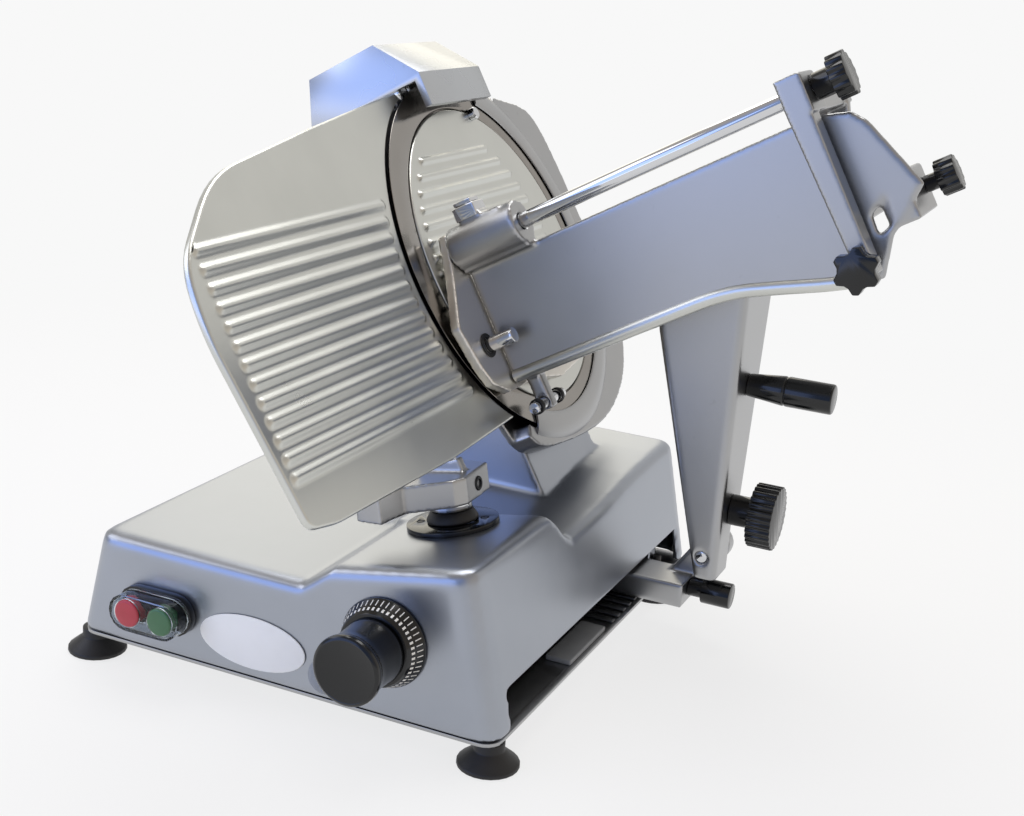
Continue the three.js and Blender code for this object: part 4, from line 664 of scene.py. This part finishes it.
def rounded_outline(corners, steps=6):
    """An outline whose corners, each given with how far its rounding reaches, are curved."""
    points = []
    for i, (x, y, reach) in enumerate(corners):
        if not reach:
            points.append((x, y))
            continue
        before, after = corners[i - 1], corners[(i + 1) % len(corners)]
        ends = []
        for ox, oy, _ in (before, after):
            length = math.hypot(ox - x, oy - y)
            ends.append((x + (ox - x) * reach / length, y + (oy - y) * reach / length))
        for k in range(steps + 1):
            t = k / steps
            points.append(tuple(
                (1 - t) ** 2 * ends[0][j] + 2 * t * (1 - t) * (x, y)[j] + t * t * ends[1][j]
                for j in (0, 1)))
    return points


def arc_points(centre, radius, start, end, steps):
    """Points on an arc, in the knife's frame, from one angle in degrees to another."""
    turns = [math.radians(start + (end - start) * i / steps) for i in range(steps + 1)]
    return [(centre[0] + radius * math.cos(t), centre[1] + radius * math.sin(t)) for t in turns]


class SLICER_OT_gauge_plate(Operator):
    """Models the gauge plate: a flat plate with thirteen rolled ribs and a turned-back rim"""

    bl_idname = "slicer.gauge_plate"
    bl_label = "Gauge plate"

    face = -2
    depth = 6
    rim_radius = 1.8
    arc_radius = 156
    edge_radius = 151.3
    edge_steps = 48
    foot_level = 126
    top_level = 144
    rib_count = 13
    rib_top = 62
    rib_left = -381
    rib_inset = 8

    # Corners of the outline, each with the reach of its rounding, before and after the curved edge
    left_corners = (
        (-395, 57, 21), (-402, 13, 21), (-386, -119, 8), (-357, -124, 6), (-200, -126, 0))
    crown_corners = ((-64, 145, 0), (-201, 127, 20), (-334, 107, 30))

    def execute(self, context):
        foot = math.degrees(math.asin(self.foot_level / self.arc_radius))
        top = math.degrees(math.asin(self.top_level / self.arc_radius))
        arc = arc_points((0, 0), self.edge_radius, 180 + foot, 180 - top, self.edge_steps)
        outline = rounded_outline(
            [*self.left_corners, *((x, y, 0) for x, y in arc), *self.crown_corners])
        pitch = sizes().rib_pitch / MM
        obj = rimmed_plate(
            "gauge_plate_skin", outline, lambda x, y: self.height(x, y, pitch), self.face,
            self.depth, self.rim_radius)
        install(obj, "gauge", "machined_aluminium", "gauge_plate")
        return {"FINISHED"}

    def height(self, x, y, pitch):
        """How high the ribbed face stands at a place: each rib ends beside the curved edge."""
        row = round((self.rib_top - y) / pitch)
        if row < 0 or row >= self.rib_count:
            return self.face
        level = self.rib_top - row * pitch
        right = -math.sqrt((self.arc_radius + self.rib_inset) ** 2 - level ** 2)
        half = sizes().rib_half_width / MM
        return self.face + rib_relief(x, y, self.rib_left, right, level, half)


class SLICER_OT_knife(Operator):
    """Models the knife: a turned disc with a ground annulus, a bevel and a rolled cutting edge"""

    bl_idname = "slicer.knife"
    bl_label = "Knife"

    # Half profile, as radius and height: the back, its bevel, the cutting edge and the ground face
    profile = (
        (22, -10.5), (118, -10.5), (136, -6), (149.6, -0.6), (150, -0.35), (150, -0.15), (149.7, 0),
        (148.4, -0.05), (140, -0.35), (127.2, -0.4), (126.4, -0.7), (126, -1.4), (126, -4.5),
        (22, -4.5), (22, -10.5))
    steps = 160
    shading = 25

    def execute(self, context):
        obj = knife_turned("knife_blade", self.profile, self.steps)
        shade(obj, self.shading)
        install(obj, "knife_rotor", "polished_steel", "knife")
        return {"FINISHED"}


class SLICER_OT_knife_cover(Operator):
    """Models the knife cover: a round plate with fifteen rolled ribs"""

    bl_idname = "slicer.knife_cover"
    bl_label = "Knife cover"

    face = 0.2
    depth = 4
    rim_radius = 1
    radius = 124.7
    steps = 120
    rib_share = 1.22
    rib_count = 15
    rib_half_width = 4.4
    left_reach = 113
    right_reach = 100
    right_share = 0.86

    def execute(self, context):
        step = 360 / self.steps
        outline = arc_points((0, 0), self.radius, 0, 360 - step, self.steps - 1)
        pitch = sizes().rib_pitch / MM
        obj = rimmed_plate(
            "knife_cover_skin", outline, lambda x, y: self.height(x, y, pitch), self.face,
            self.depth, self.rim_radius)
        install(obj, "base", "cast_aluminium", "knife_cover", finish="machined_aluminium")
        return {"FINISHED"}

    def height(self, x, y, pitch):
        """How high the ribbed face stands at a place: each rib ends on a round border."""
        row = round(y / pitch)
        level = row * pitch
        if abs(row) > (self.rib_count - 1) / 2:
            return self.face
        left = -math.sqrt(self.left_reach ** 2 - level ** 2)
        right = self.right_share * math.sqrt(self.right_reach ** 2 - level ** 2)
        relief = rib_relief(x, y, left, right, level, self.rib_half_width)
        return self.face + self.rib_share * relief


class SLICER_OT_castings(Operator):
    """Gives every casting its softened skin"""

    bl_idname = "slicer.castings"
    bl_label = "Castings"

    # Spans of the corner of the rod housing's block that is cut away beside the clamp block
    trim_spans = ((45, 66), (29.4, 44), (80, 116))

    def execute(self, context):
        tools = {"product_table": [table_block("block_trim", *self.trim_spans)]}
        for node in CASTINGS:
            cast_piece(node, *tools.get(node, []))
        return {"FINISHED"}


def table_block(name, along, rise, depth):
    """A block by the table, from its spans along the knife's axis, up its face and outwards."""
    corners = [table_point(x, y, depth[0]) for x, y in rectangle(along, rise)]
    return plate_piece(name, corners, -AWAY * (depth[1] - depth[0]) * MM)


class SLICER_OT_table_trim(Operator):
    """Models the rolled lip under the fence, and the clamp block on the rod housing"""

    bl_idname = "slicer.table_trim"
    bl_label = "Table trim"

    # The lip's middle line, each corner with the reach of its rounding, and its place and radius
    lip_path = (
        (13, -93, 0), (184, -93, 14), (206, -96.5, 8), (233, -104.5, 10), (268, -115.5, 14),
        (290, -120.5, 0))
    lip_depth = 91.5
    lip_radius = 5.5
    lip_steps = 6
    lip_shading = 60

    # Spans of the clamp block and of its cap, with the width of their rounded edges
    block_spans = ((25, 44), (29.6, 40.4), (87.5, 106.5))
    block_edge = 1.2
    cap_spans = ((27, 42), (40.7, 44), (89.5, 104.5))
    cap_edge = 0.8

    def execute(self, context):
        self.fence_lip()
        block = table_block("rod_clamp_block", *self.block_spans)
        cap = table_block("rod_clamp_cap", *self.cap_spans)
        round_edges(block, self.block_edge * MM)
        round_edges(cap, self.cap_edge * MM)
        install(merge_pieces("rod_clamp", block, cap), "table", "chromed_steel")
        return {"FINISHED"}

    def fence_lip(self):
        """The rolled lip: a line drawn along the fence's foot and given a round section."""
        path = [table_point(x, y, self.lip_depth) for x, y in rounded_outline(self.lip_path)]
        lip = first_corner("fence_lip", path[0])
        draw_line(path)
        leave_edit()
        alone(lip)
        bpy.ops.object.convert(target="CURVE")
        lip.data.bevel_depth = self.lip_radius * MM
        lip.data.bevel_resolution = self.lip_steps
        lip.data.use_fill_caps = True
        bpy.ops.object.convert(target="MESH")
        settle(lip)
        edit(lip)
        outward_faces()
        leave_edit()
        shade(lip, self.lip_shading)
        install(lip, "table", "cast_aluminium", finish="machined_aluminium")


class SLICER_OT_guard_lip(Operator):
    """Models the ring guard's lip, which covers the knife's edge except where it slices"""

    bl_idname = "slicer.guard_lip"
    bl_label = "Guard lip"

    # Half profile, as radius and height: the inner edge, the rounded crown and the outer foot
    profile = (
        (137.4, 0.5), (137.2, 0.9), (137.6, 1.6), (139, 2.2), (142, 2.4), (149, 2.1), (155, 1),
        (159, -0.5), (160, -1.6), (153.2, -1.6), (153.2, 0.2), (151, 0.5), (137.4, 0.5))
    steps = 180
    shading = 35

    # Outline of the side that slices, where the lip is cut away, and the cut's foot and height
    slicing_side = (
        (74, 170), (52, 110), (0, 0), (-56, -116), (-84, -172), (-190, -172), (-190, 170))
    cut_foot = -4
    cut_height = 10

    def execute(self, context):
        lip = knife_turned("ring_guard_lip", self.profile, self.steps)
        corners = [knife_point(x, y, self.cut_foot) for x, y in self.slicing_side]
        carve(lip, plate_piece("slicing_side", corners, KNIFE_AXIS * self.cut_height * MM))
        shade(lip, self.shading)
        install(lip, "base", "cast_aluminium")
        return {"FINISHED"}


class SLICER_OT_knife_fittings(Operator):
    """Models the bolt and nub under the hood, the stop pin's ring and the support's screw"""

    bl_idname = "slicer.knife_fittings"
    bl_label = "Bolt and nub by the knife"

    # Pieces square to the knife's face: name, place on the face, body, slot and half profile
    fittings = (
        ("guard_bolt", (-38, 146), "base", "chromed_steel", (
            (0, -15.8), (10.6, -15.8), (11, -15.2), (11, -8), (10.4, -6.4), (8.8, -5.4),
            (7.6, -5.2), (7, -5.6), (6.4, -7), (0, -7))),
        ("guard_nub", (43, 117), "base", "chromed_steel", (
            (0, 0.4), (5.2, 0.4), (5.2, 5.2), (4.4, 6.2), (0, 6.2))),
        ("stop_pin_ring", (-111, -63), "table", "black_rubber", (
            (5.9, 11.3), (9.6, 11.3), (9.6, 12.2), (9.2, 12.6), (6.4, 12.6), (5.9, 12.2),
            (5.9, 11.3))),
    )
    fitting_steps = 48
    fitting_shading = 35

    # The support's screw: where its axis meets the clamp's end face, and its half profile
    screw_face = 21.9
    screw_away = 4
    screw_level = 30
    screw_profile = (
        (0, -1), (5.4, -1), (5.4, 0.6), (4.8, 1.1), (3.2, 1.1), (2.8, -0.6), (0, -0.6))
    screw_steps = 36
    screw_shading = 30

    def execute(self, context):
        for name, (x, y), body, slot, profile in self.fittings:
            obj = knife_turned(name, profile, self.fitting_steps, x, y)
            shade(obj, self.fitting_shading)
            install(obj, body, slot)
        screw = turned_piece(
            "support_screw", self.screw_point, self.screw_point(0, 0), DECK_ALONG,
            self.screw_profile, self.screw_steps)
        shade(screw, self.screw_shading)
        install(screw, "gauge", "dark_steel")
        return {"FINISHED"}

    def screw_point(self, radius, height):
        """A place by the screw: radius across its axis, height out of the clamp's end face."""
        return deck_point(self.screw_face + height, self.screw_away + radius, self.screw_level)


DIAL_CENTRE = (-76, 78)


def dial_point(radius, angle, depth):
    """A place on the index dial: radius and angle round its axis, depth out of the front."""
    turn = math.radians(angle)
    return front_point(
        DIAL_CENTRE[0] + radius * math.cos(turn), DIAL_CENTRE[1] + radius * math.sin(turn), depth)


class SLICER_OT_dial(Operator):
    """Models the index dial with its marks, and the knob that turns it"""

    bl_idname = "slicer.dial"
    bl_label = "Index dial and knob"

    steps = 96
    shading = 30

    # The skirt's cone, as radius and depth at its foot and at its top
    cone_foot = (32, 2.4)
    cone_top = (27, 14.6)

    # Half profiles of the skirt and of the knob, as radius and depth out of the front
    skirt = (
        (6.3, 0.1), (31.9, 0.1), (32.5, 0.6), (32.5, 1.6), cone_foot, cone_top, (26.2, 15.7),
        (25, 16), (6.3, 16), (6.3, 0.1))
    grip = (
        (6.3, 16.3), (22.6, 16.3), (23.8, 17.3), (24, 18.5), (23.4, 22), (22.9, 27), (22.8, 38),
        (23.2, 43), (24.4, 47), (24.9, 48.6), (25, 50.4), (24.6, 51.8), (23.4, 52.9),
        (22.2, 53.25), (21.6, 53), (0, 53), (0, 28.3), (6.3, 28.3), (6.3, 16.3))

    # Marks: name, half width, and the depths at which each starts and ends, then their height
    marks = (("dial_long_mark", 0.35, 3.4, 8.2), ("dial_short_mark", 0.8, 10, 12.6))
    mark_height = 0.12

    def execute(self, context):
        self.turned("index_dial_skirt", "index_dial", self.skirt)
        centre = dial_point(0, 0, 0)
        count = sizes().dial_marks
        moves = [
            Matrix.Translation(centre)
            @ Matrix.Rotation(math.radians(360 / count * i), 4, AWAY)
            @ Matrix.Translation(-centre)
            for i in range(1, count)]
        rows = [repeat_piece(mark, moves) for mark in [self.mark(*values) for values in self.marks]]
        install(
            merge_pieces("index_dial_marks", *rows), "index", "black_plastic", finish="white_enamel")
        self.turned("index_knob_grip", "index_knob", self.grip)
        return {"FINISHED"}

    def turned(self, name, node, profile):
        """A black piece turned about the dial's axis, in place of its solid."""
        obj = turned_piece(
            name, lambda radius, depth: dial_point(radius, 0, depth), dial_point(0, 0, 0), AWAY,
            profile, self.steps)
        shade(obj, self.shading)
        install(obj, "index", "black_plastic", node)

    def mark(self, name, half_width, start, end):
        """One enamelled mark along the dial's conical skirt."""
        (foot, foot_depth), (top, top_depth) = self.cone_foot, self.cone_top
        lean = (foot - top) / (top_depth - foot_depth)
        corners = []
        for depth, side in ((start, -1), (start, 1), (end, 1), (end, -1)):
            radius = foot - (depth - foot_depth) * lean
            place = dial_point(radius - self.mark_height, 0, depth)
            corners.append(place + UP * side * half_width * MM)
        return plate_piece(name, corners, RIGHT * 2 * self.mark_height * MM)


class SLICER_OT_slot_fittings(Operator):
    """Models the low wiring cover and the louvres that show through the side slot"""

    bl_idname = "slicer.slot_fittings"
    bl_label = "Slot fittings"

    # Spans across and along the bottom plate, height and rounded edge of the cover and of a louvre
    cover = ((-14, 7), (127, 200), 4.4, 1.2)
    louvre = ((-22, 7), (216, 222), 2.4, 1)
    louvre_pitch = 13
    louvre_count = 8

    def execute(self, context):
        install(self.slab("slot_wiring_cover", *self.cover), "base", "grey_plastic")
        louvre = self.slab("slot_louvres", *self.louvre)
        row = repeat_piece(louvre, [
            Matrix.Translation(AWAY * self.louvre_pitch * MM * i)
            for i in range(1, self.louvre_count)])
        install(row, "base", "dark_steel", finish="grey_steel")
        return {"FINISHED"}

    def slab(self, name, across, along, height, edge):
        """A low block on the bottom plate with rounded edges."""
        corners = [world_point(x, y, BOTTOM_PLATE_TOP) for x, y in rectangle(across, along)]
        obj = plate_piece(name, corners, UP * height * MM)
        round_edges(obj, edge * MM)
        return obj


class SLICER_OT_carried(Operator):
    """Gives every other carried-over piece its finish and rounded edges"""

    bl_idname = "slicer.carried"
    bl_label = "Carried-over pieces"

    def execute(self, context):
        shown = [name for name, obj in frame["nodes"].items() if not obj.hide_render]
        for name in shown:
            edged_piece(name)
        return {"FINISHED"}


class SLICER_OT_camera(Operator):
    """Places the camera where the photograph was taken"""

    bl_idname = "slicer.camera"
    bl_label = "Camera"

    # Place in metres, turns in degrees, and lens and sensor in mm
    place = (0.3685, -0.8671, 0.5398)
    yaw = 23.13
    pitch = 16.83
    roll = 4.28
    lens = 54.41
    sensor_width = 36
    clip_start = 0.02

    def execute(self, context):
        yaw, pitch, roll = (math.radians(turn) for turn in (self.yaw, self.pitch, self.roll))
        forward = Vector((
            -math.sin(yaw) * math.cos(pitch), math.cos(yaw) * math.cos(pitch), -math.sin(pitch)))
        right = Vector((math.cos(yaw), math.sin(yaw), 0))
        up = right.cross(forward)
        turned_right = right * math.cos(roll) + up * math.sin(roll)
        turned_up = up * math.cos(roll) - right * math.sin(roll)
        bpy.ops.object.camera_add(location=self.place)
        camera = context.object
        camera.name = "photo_camera"
        camera.rotation_euler = Matrix((turned_right, turned_up, -forward)).transposed().to_euler()
        camera.data.lens = self.lens
        camera.data.sensor_width = self.sensor_width
        camera.data.clip_start = self.clip_start
        context.scene.camera = camera
        return {"FINISHED"}


class SLICER_OT_stage(Operator):
    """Builds the plain floor, the world and the soft lamps"""

    bl_idname = "slicer.stage"
    bl_label = "Studio"

    def execute(self, context):
        context.scene.view_settings.view_transform = "Standard"
        make_floor()
        make_world(context.scene)
        make_lamps()
        return {"FINISHED"}


# The floor: how far it lies under the feet in metres, the distances between which it fades into
# the white, and the share of white in what is seen of it near the feet
FLOOR_DROP = 0.0004
FLOOR_FADE = (0.5, 1.5)
NEAR_WHITE = 0.8
WHITE = "#F8F8F8"

# The world's walls behind, in front, on the right and above: the axis of the ray's direction on
# which each one after the first fades in, from where to where, and its colour
BACK_WALL = "#CFCCC6"
WALLS = (
    ("Y", 0.05, -0.7, "#9DB4E4"),
    ("X", 0.2, 0.95, "#E2D8CC"),
    ("Z", 0.35, 0.85, "#C2BAB2"),
)
WALL_STRENGTH = 0.9

# How much of the white behind the object its metal mirrors, fading in over this span of the ray
MIRRORED_SPAN = (0.3, 0.6)
MIRRORED_SHARE = 0.55

# Soft lamps: name, place, aim and size in metres, power in watts, and colour
LAMPS = (
    ("top_lamp", (-0.3, 0.7, 1.8), (-0.15, 0.2, 0.1), 1.4, 20, "#FFFFFF"),
    ("left_lamp", (-1.7, -0.5, 1.3), (-0.15, 0.2, 0.2), 1.2, 8, "#F4F6FF"),
    ("rear_lamp", (-1.3, 2.3, 1.1), (-0.15, 0.2, 0.1), 1.6, 8, "#FFF6DC"),
    ("front_lamp", (-1.3, -1.9, 0.35), (-0.15, 0, 0.2), 2.2, 20, "#A9C0FF"),
)


def seen_share(tree):
    """Two shares: 1 for a ray from the camera or through glass, and 1 for a ray off metal."""
    path = add_node(tree, "ShaderNodeLightPath")
    seen = add_node(
        tree, "ShaderNodeMath", {"operation": "MAXIMUM"},
        {0: path.outputs["Is Camera Ray"], 1: path.outputs["Is Transmission Ray"]})
    return seen.outputs[0], path.outputs["Is Glossy Ray"]


def make_floor():
    """A pale floor that keeps the shadow and fades into the white further off."""
    bpy.ops.object.select_all(action="DESELECT")
    bpy.ops.mesh.primitive_plane_add(size=sizes().studio_floor, location=(0, 0, -FLOOR_DROP))
    floor = bpy.context.object
    floor.name = "studio_floor"
    material, tree = new_material("pale_paper")
    place = add_node(tree, "ShaderNodeTexCoord")
    reach = add_node(
        tree, "ShaderNodeVectorMath", {"operation": "LENGTH"}, {0: place.outputs["Object"]})
    white_share = add_node(
        tree, "ShaderNodeMapRange",
        {"From Min": FLOOR_FADE[0], "From Max": FLOOR_FADE[1], "To Min": NEAR_WHITE},
        {"Value": reach.outputs["Value"]})
    paper = add_node(tree, "ShaderNodeBsdfDiffuse", {"Color": (*sizes().floor_colour, 1)})
    glow = add_node(tree, "ShaderNodeEmission", {"Color": linear(WHITE), "Strength": 1.0})
    seen, glossy = seen_share(tree)
    either = add_node(tree, "ShaderNodeMath", {"operation": "MAXIMUM"}, {0: seen, 1: glossy})
    share = add_node(
        tree, "ShaderNodeMath", {"operation": "MULTIPLY"},
        {0: either.outputs[0], 1: white_share.outputs["Result"]})
    mix = add_node(
        tree, "ShaderNodeMixShader", {},
        {0: share.outputs[0], 1: paper.outputs[0], 2: glow.outputs[0]})
    finish_material(tree, mix.outputs[0])
    floor.data.materials.append(material)


def make_world(scene):
    """White behind the object, and a blue daylight wall in front that the metal mirrors."""
    world = bpy.data.worlds.new("studio")
    scene.world = world
    world.use_nodes = True
    tree = world.node_tree
    tree.nodes.clear()
    place = add_node(tree, "ShaderNodeTexCoord")
    axes = add_node(tree, "ShaderNodeSeparateXYZ", {}, {"Vector": place.outputs["Generated"]})
    studio = add_node(
        tree, "ShaderNodeBackground", {"Strength": WALL_STRENGTH}, {"Color": wall_colour(tree, axes)})
    white = add_node(tree, "ShaderNodeBackground", {"Color": linear(WHITE), "Strength": 1.0})
    seen, glossy = seen_share(tree)
    behind = add_node(
        tree, "ShaderNodeMapRange",
        {"From Min": MIRRORED_SPAN[0], "From Max": MIRRORED_SPAN[1], "To Max": MIRRORED_SHARE},
        {"Value": axes.outputs["Y"]})
    mirrored = add_node(
        tree, "ShaderNodeMath", {"operation": "MULTIPLY"}, {0: glossy, 1: behind.outputs["Result"]})
    either = add_node(
        tree, "ShaderNodeMath", {"operation": "MAXIMUM"}, {0: seen, 1: mirrored.outputs[0]})
    mix = add_node(
        tree, "ShaderNodeMixShader", {},
        {0: either.outputs[0], 1: studio.outputs[0], 2: white.outputs[0]})
    output = add_node(tree, "ShaderNodeOutputWorld")
    tree.links.new(mix.outputs[0], output.inputs["Surface"])


def wall_colour(tree, axes):
    """The colour of the walls round the object, by the direction of the ray."""
    colour = None
    for axis, start, end, tone in WALLS:
        share = add_node(
            tree, "ShaderNodeMapRange", {"From Min": start, "From Max": end},
            {"Value": axes.outputs[axis]})
        links = {0: share.outputs["Result"]}
        if colour:
            links[6] = colour
        wall = add_node(
            tree, "ShaderNodeMix", {"data_type": "RGBA", 6: linear(BACK_WALL), 7: linear(tone)},
            links)
        colour = wall.outputs[2]
    return colour


def make_lamps():
    """Soft lamps: above, high on the left, behind, and a blue daylight one low in front."""
    for name, place, aim, size, power, colour in LAMPS:
        bpy.ops.object.light_add(type="AREA", location=place)
        lamp = bpy.context.object
        lamp.name = name
        lamp.data.size = size
        lamp.data.energy = power
        lamp.data.color = linear(colour)[:3]
        lamp.visible_camera = False
        lamp.rotation_euler = (Vector(aim) - Vector(place)).to_track_quat("-Z", "Y").to_euler()


class SLICER_PT_panel(Panel):
    """Lists the slicer's pieces"""

    bl_idname = "SLICER_PT_panel"
    bl_label = "Meat slicer"
    bl_space_type = "VIEW_3D"
    bl_region_type = "UI"
    bl_category = "Slicer"

    def draw(self, context):
        for operator in OPERATORS:
            self.layout.operator(operator.bl_idname)


OPERATORS = (
    SLICER_OT_camera, SLICER_OT_stage, SLICER_OT_castings, SLICER_OT_gauge_plate, SLICER_OT_knife,
    SLICER_OT_knife_cover, SLICER_OT_table_trim, SLICER_OT_guard_lip, SLICER_OT_knife_fittings,
    SLICER_OT_dial, SLICER_OT_slot_fittings, SLICER_OT_carried)
CLASSES = (SlicerSizes, *OPERATORS, SLICER_PT_panel)


def register():
    for item in CLASSES:
        bpy.utils.register_class(item)
    bpy.types.Scene.slicer_sizes = PointerProperty(type=SlicerSizes)


def unregister():
    del bpy.types.Scene.slicer_sizes
    for item in reversed(CLASSES):
        bpy.utils.unregister_class(item)


def main():
    """Makes the whole scene."""
    register()
    make_finishes()
    for operator in OPERATORS:
        group, name = operator.bl_idname.split(".")
        getattr(getattr(bpy.ops, group), name)()


if __name__ == "__main__":
    main()
